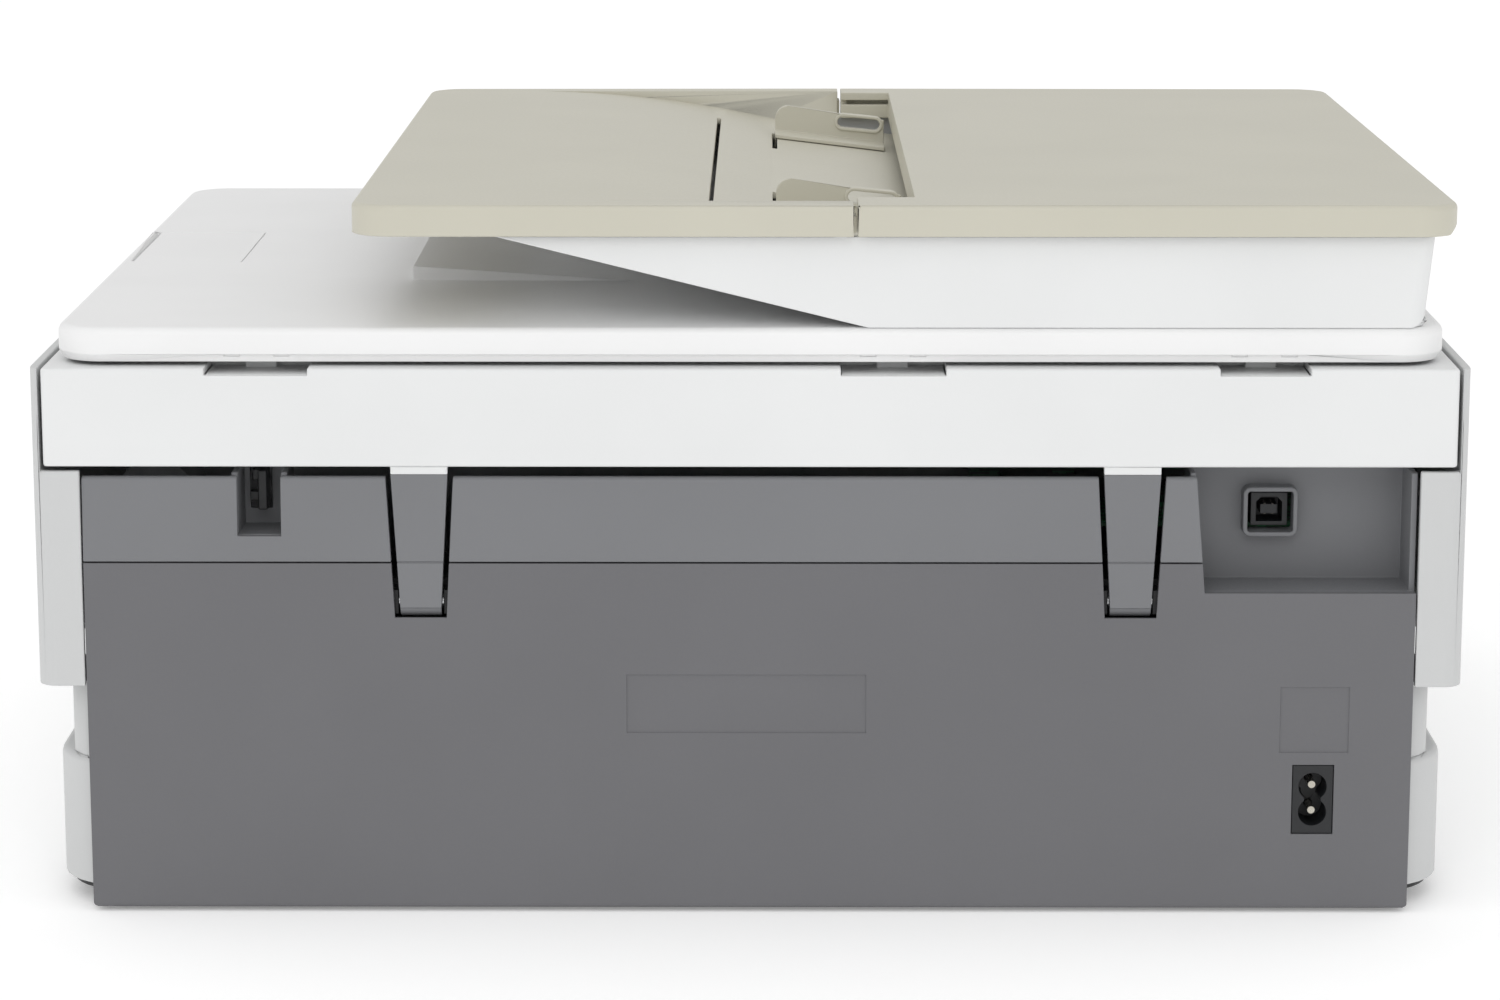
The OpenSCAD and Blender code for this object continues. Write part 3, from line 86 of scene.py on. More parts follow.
class Slot(Enum):
    """The record's material slots."""

    WHITE = "white_housing"
    GREY = "grey_cover"
    BEIGE = "beige_feeder"
    BLACK = "black_plastic"
    RUBBER = "rubber_parts"
    STEEL = "steel_parts"
    ACETAL = "natural_acetal"
    GLASS = "platen_glass"
    FOAM = "white_foam"
    BOARD = "circuit_board"
    SCREEN = "screen"


class Axis(Enum):
    """The three directions, by their place in a vector."""

    X = 0
    Y = 1
    Z = 2


# ---------------------------------------------------------------- finishes


def linear(colour: str) -> tuple[float, float, float, float]:
    """Turns an sRGB hex colour to linear light.

    Args:
        colour: Six hex digits after a hash.

    Returns:
        Red, green, blue and an alpha of 1.
    """
    parts = [int(colour[i:i + 2], 16) / 255 for i in (1, 3, 5)]
    made = [c / 12.92 if c <= 0.04045 else ((c + 0.055) / 1.055) ** 2.4 for c in parts]
    return made[0], made[1], made[2], 1.0


def shade(colour: str, by: float) -> tuple[float, float, float, float]:
    """Gives a hex colour in linear light, made lighter or darker by a factor."""
    r, g, b, a = linear(colour)
    return min(r * by, 1.0), min(g * by, 1.0), min(b * by, 1.0), a


def add_node(material: bpy.types.Material, kind: str, values: dict[str, Any] | None = None,
             links: dict[str, Any] | None = None, **settings: Any) -> bpy.types.Node:
    """Adds one shader node with its settings, values and links.

    Args:
        material: The material whose tree takes the node.
        kind: The node's type name.
        values: Numbers or colours for its inputs, by input name or number.
        links: Output sockets that feed its inputs, by input name or number.
        settings: Properties of the node itself.

    Returns:
        The new node.
    """
    node = material.node_tree.nodes.new(kind)
    for name, value in settings.items():
        setattr(node, name, value)
    for name, value in (values or {}).items():
        node.inputs[name].default_value = value
    for name, socket in (links or {}).items():
        material.node_tree.links.new(socket, node.inputs[name])
    return node


def blank(name: str) -> tuple[bpy.types.Material, bpy.types.Node]:
    """Makes a node material that holds only its output.

    Args:
        name: The material's name.

    Returns:
        The material and its output node.
    """
    material = bpy.data.materials.new(name)
    material.use_nodes = True
    material.node_tree.nodes.clear()
    return material, add_node(material, "ShaderNodeOutputMaterial")


_MADE: dict[str, bpy.types.Material] = {}


@dataclass(frozen=True)
class Finish:
    """What every finish has: its name, its colour and the slot that it stands for.

    Attributes:
        name: What the material is, in a maker's words.
        colour: Its sRGB colour in hex.
        slot: The record's slot; not used.
        roughness: How far it scatters a highlight, from 0 to 1.
    """

    name: str
    colour: str
    slot: Slot
    roughness: float

    def material(self) -> bpy.types.Material:
        """Gives the Blender material, made once."""
        if self.name not in _MADE:
            _MADE[self.name] = self.make()
        return _MADE[self.name]

    def make(self) -> bpy.types.Material:
        """Builds the node tree."""
        raise NotImplementedError


@dataclass(frozen=True)
class Moulded(Finish):
    """Injection-moulded ABS or polystyrene.

    Attributes:
        grain: Width in mm of the spark-eroded texture's grains, which are about 0.2 mm on a real
            moulding and are drawn coarser so that they show.
        depth: Height in mm of those grains.
        mottle: Share by which the colour drifts over the part.
        patch: Width in mm of that drift.
        glow: Light that it gives off itself, as a backlit backdrop does.
    """

    grain: float = 0.9
    depth: float = 0.02
    mottle: float = 0.012
    patch: float = 60.0
    glow: float = 0.0

    def make(self) -> bpy.types.Material:
        """Builds a dielectric with a fine grain and a faint drift of colour and gloss."""
        mat, out = blank(self.name)
        at = add_node(mat, "ShaderNodeTexCoord").outputs["Object"]
        grain = add_node(mat, "ShaderNodeTexNoise",
                         {"Scale": 1 / (self.grain * MM), "Detail": 3.0, "Roughness": 0.6},
                         {"Vector": at})
        drift = add_node(mat, "ShaderNodeTexNoise",
                         {"Scale": 1 / (self.patch * MM), "Detail": 2.0}, {"Vector": at})
        tone = self.tone(mat, drift)
        gloss = add_node(mat, "ShaderNodeMapRange",
                         {"From Min": 0.3, "From Max": 0.7,
                          "To Min": self.roughness - 0.04, "To Max": self.roughness + 0.05},
                         {"Value": grain.outputs["Fac"]})
        bump = add_node(mat, "ShaderNodeBump", {"Strength": 1.0, "Distance": self.depth * MM},
                        {"Height": grain.outputs["Fac"]})
        skin = add_node(mat, "ShaderNodeBsdfPrincipled",
                        {"IOR": 1.52, "Emission Color": (1.0, 1.0, 1.0, 1.0),
                         "Emission Strength": self.glow},
                        {"Base Color": tone, "Roughness": gloss.outputs["Result"],
                         "Normal": bump.outputs["Normal"]})
        mat.node_tree.links.new(skin.outputs["BSDF"], out.inputs["Surface"])
        return mat

    def tone(self, mat: bpy.types.Material, drift: bpy.types.Node) -> bpy.types.NodeSocket:
        """Mixes the darker and lighter tone of the colour by the slow drift."""
        ramp = add_node(mat, "ShaderNodeValToRGB", {}, {"Fac": drift.outputs["Fac"]})
        low, high = ramp.color_ramp.elements
        low.position, high.position = 0.35, 0.65
        low.color = shade(self.colour, 1 - self.mottle)
        high.color = shade(self.colour, 1 + self.mottle)
        return ramp.outputs["Color"]


@dataclass(frozen=True)
class Drawn(Finish):
    """Metal drawn or rolled along one axis.

    Attributes:
        along: The axis that the draw marks follow.
        mark: Spacing of the marks in mm, drawn coarser than real ones so that they show.
    """

    along: Axis = Axis.X
    mark: float = 0.35

    def make(self) -> bpy.types.Material:
        """Builds a metal with fine marks stretched along the draw."""
        mat, out = blank(self.name)
        at = add_node(mat, "ShaderNodeTexCoord").outputs["Object"]
        stretch = [1.0, 1.0, 1.0]
        stretch[self.along.value] = 0.02
        turned = add_node(mat, "ShaderNodeMapping", {"Scale": stretch}, {"Vector": at})
        marks = add_node(mat, "ShaderNodeTexNoise", {"Scale": 1 / (self.mark * MM), "Detail": 4.0},
                         {"Vector": turned.outputs["Vector"]})
        gloss = add_node(mat, "ShaderNodeMapRange",
                         {"To Min": self.roughness - 0.08, "To Max": self.roughness + 0.1},
                         {"Value": marks.outputs["Fac"]})
        bump = add_node(mat, "ShaderNodeBump", {"Strength": 0.6, "Distance": 0.01 * MM},
                        {"Height": marks.outputs["Fac"]})
        skin = add_node(mat, "ShaderNodeBsdfPrincipled",
                        {"Base Color": linear(self.colour), "Metallic": 1.0},
                        {"Roughness": gloss.outputs["Result"], "Normal": bump.outputs["Normal"]})
        mat.node_tree.links.new(skin.outputs["BSDF"], out.inputs["Surface"])
        return mat


@dataclass(frozen=True)
class Polished(Finish):
    """Glass or a glossy cover, clear or opaque.

    Attributes:
        clear: Share of light that passes through.
        smear: Width in mm of the faint smears that break its gloss.
    """

    clear: float = 0.0
    smear: float = 18.0

    def make(self) -> bpy.types.Material:
        """Builds a smooth surface whose gloss varies in faint smears."""
        mat, out = blank(self.name)
        at = add_node(mat, "ShaderNodeTexCoord").outputs["Object"]
        smears = add_node(mat, "ShaderNodeTexNoise",
                          {"Scale": 1 / (self.smear * MM), "Detail": 5.0}, {"Vector": at})
        gloss = add_node(mat, "ShaderNodeMapRange",
                         {"From Min": 0.4, "From Max": 0.7,
                          "To Min": self.roughness, "To Max": self.roughness + 0.07},
                         {"Value": smears.outputs["Fac"]})
        skin = add_node(mat, "ShaderNodeBsdfPrincipled",
                        {"Base Color": linear(self.colour), "IOR": 1.52,
                         "Transmission Weight": self.clear},
                        {"Roughness": gloss.outputs["Result"]})
        mat.node_tree.links.new(skin.outputs["BSDF"], out.inputs["Surface"])
        return mat


@dataclass(frozen=True)
class Laminate(Finish):
    """Fibreglass circuit board with copper traces under a solder mask.

    Attributes:
        board_top: Height in metres above which a component stands instead of the board.
        pitch: Spacing of the traces in mm.
        component: The sRGB colour of the components in hex.
    """

    board_top: float = 0.125
    pitch: float = 2.4
    component: str = "#141517"

    def make(self) -> bpy.types.Material:
        """Builds green laminate with paler traces, and black where a component stands on it."""
        mat, out = blank(self.name)
        at = add_node(mat, "ShaderNodeTexCoord").outputs["Object"]
        traces = add_node(mat, "ShaderNodeTexBrick",
                          {"Scale": 1 / (self.pitch * 10 * MM), "Mortar Size": 0.06,
                           "Color1": linear(self.colour), "Color2": shade(self.colour, 0.9),
                           "Mortar": shade(self.colour, 2.2)}, {"Vector": at})
        height = add_node(mat, "ShaderNodeSeparateXYZ", {}, {"Vector": at}).outputs["Z"]
        over = add_node(mat, "ShaderNodeMath", {1: self.board_top}, {0: height},
                        operation="GREATER_THAN")
        both = add_node(mat, "ShaderNodeMixRGB", {"Color2": linear(self.component)},
                        {"Fac": over.outputs[0], "Color1": traces.outputs["Color"]})
        skin = add_node(mat, "ShaderNodeBsdfPrincipled", {"Roughness": self.roughness, "IOR": 1.5},
                        {"Base Color": both.outputs["Color"]})
        mat.node_tree.links.new(skin.outputs["BSDF"], out.inputs["Surface"])
        return mat


# White ABS in a fine spark-eroded texture: a soft, even sheen with no clear reflection.
WHITE_ABS = Moulded("white_abs_fine_texture", "#e5e6e6", Slot.WHITE, 0.44)
# The lid is moulded from the same ABS with a smoother face, so its highlights are a little tighter.
LID_ABS = Moulded("white_abs_satin", "#f0f0f0", Slot.WHITE, 0.36, grain=1.2, depth=0.012)
# Mid-grey ABS with a coarser texture: a flat, dry surface that hides fingerprints.
GREY_ABS = Moulded("grey_abs_coarse_texture", "#69696c", Slot.GREY, 0.55,
                   grain=1.1, depth=0.035, mottle=0.02)
# The strip above the seam comes from another mould with a finer texture; its grey is painted paler
# than the cover below as painted light, where its face leans back towards the lamps. The lift arms
# and the port pockets take the same painted-lighter grey.
GREY_ABS_PAINTED_LIGHTER = Moulded("grey_abs_fine_texture_painted_lighter", "#77787b", Slot.GREY, 0.5,
                        grain=1.0, depth=0.025, mottle=0.02)
# Warm stone-coloured ABS: the feeder's top and its guides, satin.
BEIGE_ABS = Moulded("stone_abs_satin", "#c7c4b5", Slot.BEIGE, 0.42, grain=1.0, depth=0.018)
# Unpainted black polystyrene of the parts inside, with a moulded sheen.
BLACK_PS = Moulded("black_polystyrene", "#1a1b1d", Slot.BLACK, 0.5,
                   grain=1.4, depth=0.03, mottle=0.05)
# Black nylon of the sockets: dense and dull, so that the contacts inside stay dark.
SOCKET_NYLON = Moulded("black_nylon", "#17191c", Slot.BLACK, 0.42,
                       grain=0.8, depth=0.02, mottle=0.05)
# Black acrylic face of the control panel: a deep mirror gloss.
PANEL_BLACK = Polished("black_gloss_acrylic", "#08090a", Slot.BLACK, 0.08)
# Cover glass of the touch screen, darker than the panel round it.
SCREEN_GLASS = Polished("touch_screen_glass", "#050608", Slot.SCREEN, 0.03)
# The side panels and the skirt are the same white ABS painted greyer than the band, as painted
# shade where they turn away from the light.
WHITE_ABS_PAINTED_DARKER = Moulded("white_abs_fine_texture_painted_darker", "#cacbcb", Slot.WHITE, 0.46)
# Float glass of the scanner: clear with a faint green body.
FLOAT_GLASS = Polished("float_glass", "#e3f1ec", Slot.GLASS, 0.01, clear=1.0)
# Ground rubber of the rollers and feet: black, dull and finely pitted.
RUBBER = Moulded("ground_rubber", "#1c1c1d", Slot.RUBBER, 0.78, grain=0.7, depth=0.06, mottle=0.08)
# Light grey rubber of the feeder's rollers, as soft compounds for thin sheets are.
GREY_RUBBER = Moulded("grey_silicone_rubber", "#6f7074", Slot.RUBBER, 0.7,
                      grain=0.7, depth=0.05, mottle=0.05)
# Zinc-plated rolled sheet of the carriage rail and the motor's can: dull, with long rolling marks.
PLATED_SHEET = Drawn("zinc_plated_sheet", "#b9bbbd", Slot.STEEL, 0.36)
# Ground shafting: bright, with faint marks drawn coarser than the grinding leaves them.
GROUND_SHAFT = Drawn("ground_steel_shaft", "#c9cacc", Slot.STEEL, 0.2, mark=0.2)
# Nickel-plated pins and screws: a warm, bright plate.
NICKEL = Drawn("nickel_plated_steel", "#bdb9ae", Slot.STEEL, 0.25, along=Axis.Y, mark=0.25)
# Natural acetal of the gears: milky white with a waxy gloss.
ACETAL = Moulded("natural_acetal", "#e4e1d4", Slot.ACETAL, 0.3, grain=2.0, depth=0.01, mottle=0.02)
# White closed-cell foam under a smooth film.
FOAM = Moulded("white_film_on_foam", "#f1f1ef", Slot.FOAM, 0.6, grain=2.2, depth=0.06, mottle=0.02)


# ---------------------------------------------------------------- mesh work


def node_body(node: str) -> str:
    """Gives the body that a CAD node rides on."""
    return next(b for b, nodes in frame["record"]["behaviour"]["bodies"].items() if node in nodes)


def merged(node: str) -> bmesh.types.BMesh:
    """Copies a CAD node's mesh, joins its loose triangles and clears the lines on flat faces.

    Args:
        node: The CAD node.

    Returns:
        The copy as a bmesh.
    """
    bm = bmesh.new()
    bm.from_mesh(frame["nodes"][node].data)
    bmesh.ops.remove_doubles(bm, verts=bm.verts, dist=WELD)
    bmesh.ops.dissolve_limit(bm, angle_limit=FLAT_BELOW, use_dissolve_boundaries=False,
                             verts=bm.verts, edges=bm.edges, delimit=set())
    bmesh.ops.connect_verts_concave(bm, faces=[f for f in bm.faces if len(f.verts) > 4])
    return bm


def finished(name: str, bm: bmesh.types.BMesh, finish: Finish, body: str) -> bpy.types.Object:
    """Turns a bmesh into a piece with smooth rounds, flat faces, its material and its body.

    Args:
        name: The piece's name.
        bm: The mesh, which is used up.
        finish: What it is made of.
        body: The CAD body that it moves with.

    Returns:
        The piece.
    """
    bmesh.ops.dissolve_degenerate(bm, edges=bm.edges, dist=DEGENERATE)
    mesh = bpy.data.meshes.new(name)
    for face in bm.faces:
        face.smooth = True
        face.material_index = 0
    bm.to_mesh(mesh)
    bm.free()
    mesh.set_sharp_from_angle(angle=SHARP_ABOVE)
    piece = bpy.data.objects.new(name, mesh)
    bpy.context.scene.collection.objects.link(piece)
    mesh.materials.append(finish.material())
    flat = piece.modifiers.new("flat_faces", "WEIGHTED_NORMAL")
    flat.keep_sharp = True
    flat.weight = FLAT_WEIGHT
    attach(piece, body)
    LOG.info("%s: %d faces, %s, rides on %s", name, len(mesh.polygons), finish.name, body)
    return piece


def flat_regions(bm: bmesh.types.BMesh) -> list[tuple[Vector, list[bmesh.types.BMFace]]]:
    """Groups the touching faces that lie in one plane, largest first.

    Args:
        bm: The mesh.

    Returns:
        Each region's normal and its faces.
    """
    bm.normal_update()
    taken: set[bmesh.types.BMFace] = set()
    regions = []
    for seed in sorted(bm.faces, key=lambda f: -f.calc_area()):
        if seed in taken or seed.calc_area() < SMALLEST_REGION:
            continue
        normal, origin = seed.normal.copy(), seed.verts[0].co.copy()
        taken.add(seed)
        faces, queue = [seed], [seed]
        while queue:
            for edge in queue.pop().edges:
                for face in edge.link_faces:
                    off = max(abs((v.co - origin).dot(normal)) for v in face.verts)
                    if face in taken or off > WELD:
                        continue
                    taken.add(face)
                    faces.append(face)
                    queue.append(face)
        regions.append((normal, faces))
    return regions


def winds(at: Vector, ring: list[tuple[Vector, Vector]]) -> int:
    """Counts how often directed edges wind round a point of the plane."""
    count = 0
    for a, b in ring:
        if (a.y <= at.y) != (b.y <= at.y):
            left = (b.x - a.x) * (at.y - a.y) - (at.x - a.x) * (b.y - a.y)
            count += (left > 0) if a.y <= at.y else -(left < 0)
    return count


def refill(bm: bmesh.types.BMesh) -> int:
    """Fills every flat region again inside its outline, so that no sliver is left folded over.

    Args:
        bm: The mesh, changed in place.

    Returns:
        How many regions could not be filled and were left alone.
    """
    left = 0
    for normal, faces in flat_regions(bm):
        inside = set(faces)
        level = faces[0].verts[0].co.dot(normal)
        rim = [c for f in faces for c in f.loops
               if sum(g in inside for g in c.edge.link_faces) == 1]
        verts = list({v for c in rim for v in c.edge.verts})
        if len(faces) == 1 and len(verts) <= 4:
            continue
        across = normal.orthogonal().normalized()
        up = normal.cross(across)
        place = {v: i for i, v in enumerate(verts)}
        flat = [Vector((v.co.dot(across), v.co.dot(up))) / MM for v in verts]
        ends = [(place[c.vert], place[c.link_loop_next.vert]) for c in rim]
        points, _, corners, origin, _, _ = delaunay_2d_cdt(flat, ends, [], 0, 1e-5)
        ring = [(flat[i], flat[j]) for i, j in ends]
        kept = [t for t in corners
                if winds((points[t[0]] + points[t[1]] + points[t[2]]) / 3, ring) > 0]
        area = sum(math.copysign(f.calc_area(), f.normal.dot(normal)) for f in faces) / MM ** 2
        filled = sum(area_tri(*[points[i] for i in t]) for t in kept)
        if not kept or abs(filled - area) > AREA_SHARE * area + AREA_SLACK:
            left += 1
            continue
        bmesh.ops.delete(bm, geom=faces, context="FACES_KEEP_BOUNDARY")
        made = [verts[which[0]] if which
                else bm.verts.new(normal * level + (across * at.x + up * at.y) * MM)
                for at, which in zip(points, origin)]
        for three in kept:
            fresh = [made[i] for i in three]
            if len(set(fresh)) == 3 and not bm.faces.get(fresh):
                bm.faces.new(fresh)
    bmesh.ops.delete(bm, geom=[v for v in bm.verts if not v.link_faces], context="VERTS")
    bm.normal_update()
    return left


def bevel(bm: bmesh.types.BMesh, edges: list[bmesh.types.BMEdge], radius: float, segments: int,
          clamp: bool) -> None:
    """Rounds edges.

    Args:
        bm: The mesh, changed in place.
        edges: The edges.
        radius: The radius in mm.
        segments: How many faces make the round.
        clamp: Whether a round stops where it would meet the next one.
    """
    if edges:
        bmesh.ops.bevel(bm, geom=edges, offset=radius * MM, offset_type="OFFSET",
                        segments=segments, profile=0.5, affect="EDGES", clamp_overlap=clamp,
                        loop_slide=False, material=-1)


@dataclass(frozen=True)
class Round:
    """A set of a moulding's edges and the radius that its mould gives them.

    Attributes:
        radius: The radius in mm.
        level: Height in mm of the edges that run round the part, or None for its upright ones.
        segments: How many faces make the round.
        keep: A test of an edge's middle, in mm, that it has to pass.
        reach: How far in mm the edge may be from the part's outline.
    """

    radius: float
    level: float | None = None
    segments: int = 5
    keep: Callable[[Vector], bool] | None = None
    reach: float = 6.0

    def edges(self, bm: bmesh.types.BMesh) -> list[bmesh.types.BMEdge]:
        """Finds the edges on the outside of the part that this round takes.

        Args:
            bm: The part's mesh.

        Returns:
            The edges.
        """
        lo = Vector([min(v.co[i] for v in bm.verts) for i in range(3)])
        hi = Vector([max(v.co[i] for v in bm.verts) for i in range(3)])
        found = []
        for edge in bm.edges:
            if not edge.is_manifold or not edge.is_convex or edge.calc_face_angle(0) < ROUND_ABOVE:
                continue
            a, b = edge.verts[0].co, edge.verts[1].co
            mid = (a + b) / 2
            if self.level is None:
                if abs((a - b).normalized().z) < UPRIGHT:
                    continue
            elif max(abs(a.z - self.level * MM), abs(b.z - self.level * MM)) > LEVEL_SLACK:
                continue
            side = min(mid.x - lo.x, hi.x - mid.x, mid.y - lo.y, hi.y - mid.y)
            if side > self.reach * MM or (self.keep and not self.keep(mid / MM)):
                continue
            found.append(edge)
        return found


@dataclass
class Shell:
    """A moulding copied from its CAD node, with the rounds of its mould.

    Attributes:
        node: The CAD node that it stands for.
        finish: What it is made of.
        rounds: Its larger rounds, in the order that they are cut.
        small: The radius in mm on every other sharp edge, or 0 for none.
        reshape: A change to the mesh before it is rounded.
        spare: A test of an edge's middle, in mm, that keeps the edge sharp.
    """

    node: str
    finish: Finish
    rounds: tuple[Round, ...] = ()
    small: float = 0.25
    reshape: Callable[[bmesh.types.BMesh], None] | None = None
    spare: Callable[[Vector], bool] | None = None

    def sharp(self, edge: bmesh.types.BMEdge) -> bool:
        """Tells whether an edge takes the small round."""
        if not edge.is_manifold or edge.calc_face_angle(0) < SMALL_ABOVE:
            return False
        if edge.calc_length() < SHORTEST_EDGE:
            return False
        return not (self.spare and self.spare((edge.verts[0].co + edge.verts[1].co) / 2 / MM))

    def build(self) -> bpy.types.Object:
        """Makes the rounded copy and hides the CAD node behind it."""
        bm = merged(self.node)
        if self.reshape:
            self.reshape(bm)
        for made in self.rounds:
            bevel(bm, made.edges(bm), made.radius, made.segments, False)
        if self.small:
            bevel(bm, [e for e in bm.edges if self.sharp(e)], self.small, 2, False)
            left = refill(bm)
            if left:
                LOG.info("%s: %d flat regions kept as cut", self.node, left)
        piece = finished(self.node + "_shell", bm, self.finish, node_body(self.node))
        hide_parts(self.node)
        return piece


def dress(node: str, finish: Finish) -> None:
    """Gives a CAD node that shows as it is its material.

    Args:
        node: The CAD node.
        finish: What it is made of.
    """
    mesh = frame["nodes"][node].data
    mesh.materials.clear()
    mesh.materials.append(finish.material())
    LOG.info("%s: CAD node in %s", node, finish.name)


def block(lo: Iterable[float], hi: Iterable[float]) -> bmesh.types.BMesh:
    """Makes a box between two corners given in metres.

    Args:
        lo: The lowest corner.
        hi: The highest corner.

    Returns:
        The box as a bmesh.
    """
    low, high = Vector(lo), Vector(hi)
    bm = bmesh.new()
    size = high - low
    place = Matrix.Translation((low + high) / 2) @ Matrix.Diagonal((*size, 1.0))
    bmesh.ops.create_cube(bm, size=1.0, matrix=place)
    return bm


def rounded_block(lo: Iterable[float], hi: Iterable[float], radius: float,
                  segments: int = 3) -> bmesh.types.BMesh:
    """Makes a box with every edge rounded.

    Args:
        lo: The lowest corner, in metres.
        hi: The highest corner, in metres.
        radius: The radius in mm.
        segments: How many faces make the round.

    Returns:
        The box as a bmesh.
    """
    bm = block(lo, hi)
    bevel(bm, list(bm.edges), radius, segments, True)
    return bm


def join(parts: list[bmesh.types.BMesh]) -> bmesh.types.BMesh:
    """Puts several meshes into one, and frees the rest."""
    whole = parts[0]
    for part in parts[1:]:
        mesh = bpy.data.meshes.new("joined")
        part.to_mesh(mesh)
        part.free()
        whole.from_mesh(mesh)
        bpy.data.meshes.remove(mesh)
    return whole


# ---------------------------------------------------------------- reshaping of copied mouldings


def draft_lid_edge(bm: bmesh.types.BMesh) -> None:
    """Turns the step under the lid's rim into a sloping edge.

    Args:
        bm: The lid's mesh, changed in place.
    """
    base = min(v.co.z for v in bm.verts)
    lowest, highest = 1.5 * MM, 3.0 * MM
    pairs = {}
    for edge in bm.edges:
        a, b = sorted(edge.verts, key=lambda v: v.co.z)
        upright = (a.co - b.co).xy.length < WELD
        if upright and a.co.z - base < FOOT_SLACK and lowest < b.co.z - a.co.z < highest:
            pairs[b] = a
    bmesh.ops.weld_verts(bm, targetmap=pairs)
    bmesh.ops.dissolve_degenerate(bm, edges=bm.edges, dist=DEGENERATE)


# ---------------------------------------------------------------- sub-assemblies


@dataclass
class LowerBody:
    """Skirt and waist, base plate, feet and the upper side panels.

    Attributes:
        skirt: The skirt with its waist.
        panels: The CAD nodes of the side panels.
        panel_edge: The radius in mm on the panels' and the base plate's edges.
        foot_edge: The radius in mm on the feet.
    """

    # The skirt and the side panels take the white ABS painted darker as painted shade.
    skirt: Shell = field(default_factory=lambda: Shell(
        "lower_housing", WHITE_ABS_PAINTED_DARKER, (Round(2.2, 50.5, 5),), 0.4))
    panels: tuple[str, str] = ("side_panel_left", "side_panel_right")
    panel_edge: float = 0.5
    foot_edge: float = 0.8

    def build(self) -> None:
        """Builds the white lower mouldings."""
        self.skirt.build()
        for name in self.panels:
            Shell(name, WHITE_ABS_PAINTED_DARKER, (), self.panel_edge).build()
        Shell("base_plate", BLACK_PS, (), self.panel_edge).build()
        Shell("rubber_feet", RUBBER, (), self.foot_edge).build()


@dataclass
class RearCovers:
    """Grey covers with the recess, the notch and the sockets in them.

    Attributes:
        lower: The large cover below the seam.
        upper: The strip above the seam.
        pockets: The recess and the notch.
        contact: Width, depth back from the socket's mouth, set-back and thickness of a contact.
        contact_x: Where the contacts lie either side of the socket's middle.
        contact_z: Their heights above the socket's foot.
        lever_in: How far the sensor lever lies from the pockets' side and behind the cover's back.
        lever_bars: The lever's bars: low and high corner from there, and the radius of the edges.
    """

    lower: Shell = field(default_factory=lambda: Shell(
        "rear_cover", GREY_ABS, (Round(1.6, 1.5, 4),), 0.16))
    # The strip's paler grey is painted light, not a different plastic.
    upper: Shell = field(default_factory=lambda: Shell("rear_upper_cover", GREY_ABS_PAINTED_LIGHTER, (), 0.3))
    pockets: Shell = field(default_factory=lambda: Shell("port_pockets", GREY_ABS_PAINTED_LIGHTER, (), 0.35))
    contact: tuple[float, float, float, float] = (0.8, 8.0, 1.2, 0.12)
    contact_x: tuple[float, ...] = (-1.3, 1.3)
    contact_z: tuple[float, ...] = (3.6, 6.88)
    lever_in: tuple[float, float] = (2.0, 21.0)
    lever_bars: tuple[tuple[Corner, Corner, float], ...] = (
        ((-8.5, 0.0, -13.0), (-5.5, 9.0, 0.0), 0.5),
        ((-6.0, 2.0, -10.5), (-2.6, 6.0, -7.5), 0.4),
        ((-6.0, 1.0, -3.5), (-3.6, 7.0, 0.0), 0.4))

    def build(self) -> None:
        """Builds the covers, then what shows through them."""
        for shell in (self.lower, self.upper, self.pockets):
            shell.build()
        Shell("usb_port", SOCKET_NYLON, (), 0.2).build()
        Shell("power_inlet", SOCKET_NYLON, (), 0.3).build()
        dress("inlet_pins", NICKEL)
        self.contacts()
        self.latch()

    def contacts(self) -> None:
        """Adds the socket's four nickel-plated contacts on its tongue."""
        lo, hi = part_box("usb_port")
        at = Vector(((lo.x + hi.x) / 2, hi.y, lo.z))
        width, back, front, thick = self.contact
        strips = [rounded_block(at + Vector((x - width / 2, -back, z)) * MM,
                                at + Vector((x + width / 2, -front, z + thick)) * MM, 0.05, 1)
                  for x in self.contact_x for z in self.contact_z]
        finished("usb_contacts", join(strips), NICKEL, "base")

    def latch(self) -> None:
        """Adds the sensor lever that shows in the notch."""
        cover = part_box("rear_upper_cover")[1]
        side, behind = self.lever_in
        at = Vector((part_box("port_pockets")[1].x - side * MM, cover.y - behind * MM, cover.z))
        parts = [rounded_block(at + Vector(low) * MM, at + Vector(high) * MM, edge)
                 for low, high, edge in self.lever_bars]
        finished("lid_sensor_lever", join(parts), BLACK_PS, "base")


@dataclass
class FrontFascia:
    """Front of the machine: fascia, control panel, screen and power button.

    Attributes:
        edge: The radius in mm on the mouldings' edges.
        glass_edge: The radius in mm on the screen's ground edge.
    """

    edge: float = 0.5
    glass_edge: float = 0.2

    def build(self) -> None:
        """Builds the front mouldings and the screen."""
        Shell("front_fascia", WHITE_ABS, (), self.edge).build()
        Shell("control_panel", PANEL_BLACK, (), self.edge).build()
        Shell("touchscreen", SCREEN_GLASS, (), self.glass_edge).build()
        Shell("power_button", WHITE_ABS, (), self.edge).build()


@dataclass
class ScannerUnit:
    """Band, glass, light bar and the arms that lift the unit.

    Attributes:
        band: The white band, round at its top and bottom edge.
    """

    band: Shell = field(default_factory=lambda: Shell(
        "scanner_bed", WHITE_ABS, (Round(0.9, 180.5, 3), Round(0.9, 148.5, 3)), 0.3))

    def build(self) -> None:
        """Builds the scanner unit."""
        self.band.build()
        Shell("lift_arms", GREY_ABS_PAINTED_LIGHTER, (), 0.25).build()
        Shell("hinge_posts", WHITE_ABS, (), 0.3).build()
        Shell("scan_bar", BLACK_PS, (), 0.5).build()
        dress("scanner_glass", FLOAT_GLASS)
        dress("scan_rod", GROUND_SHAFT)


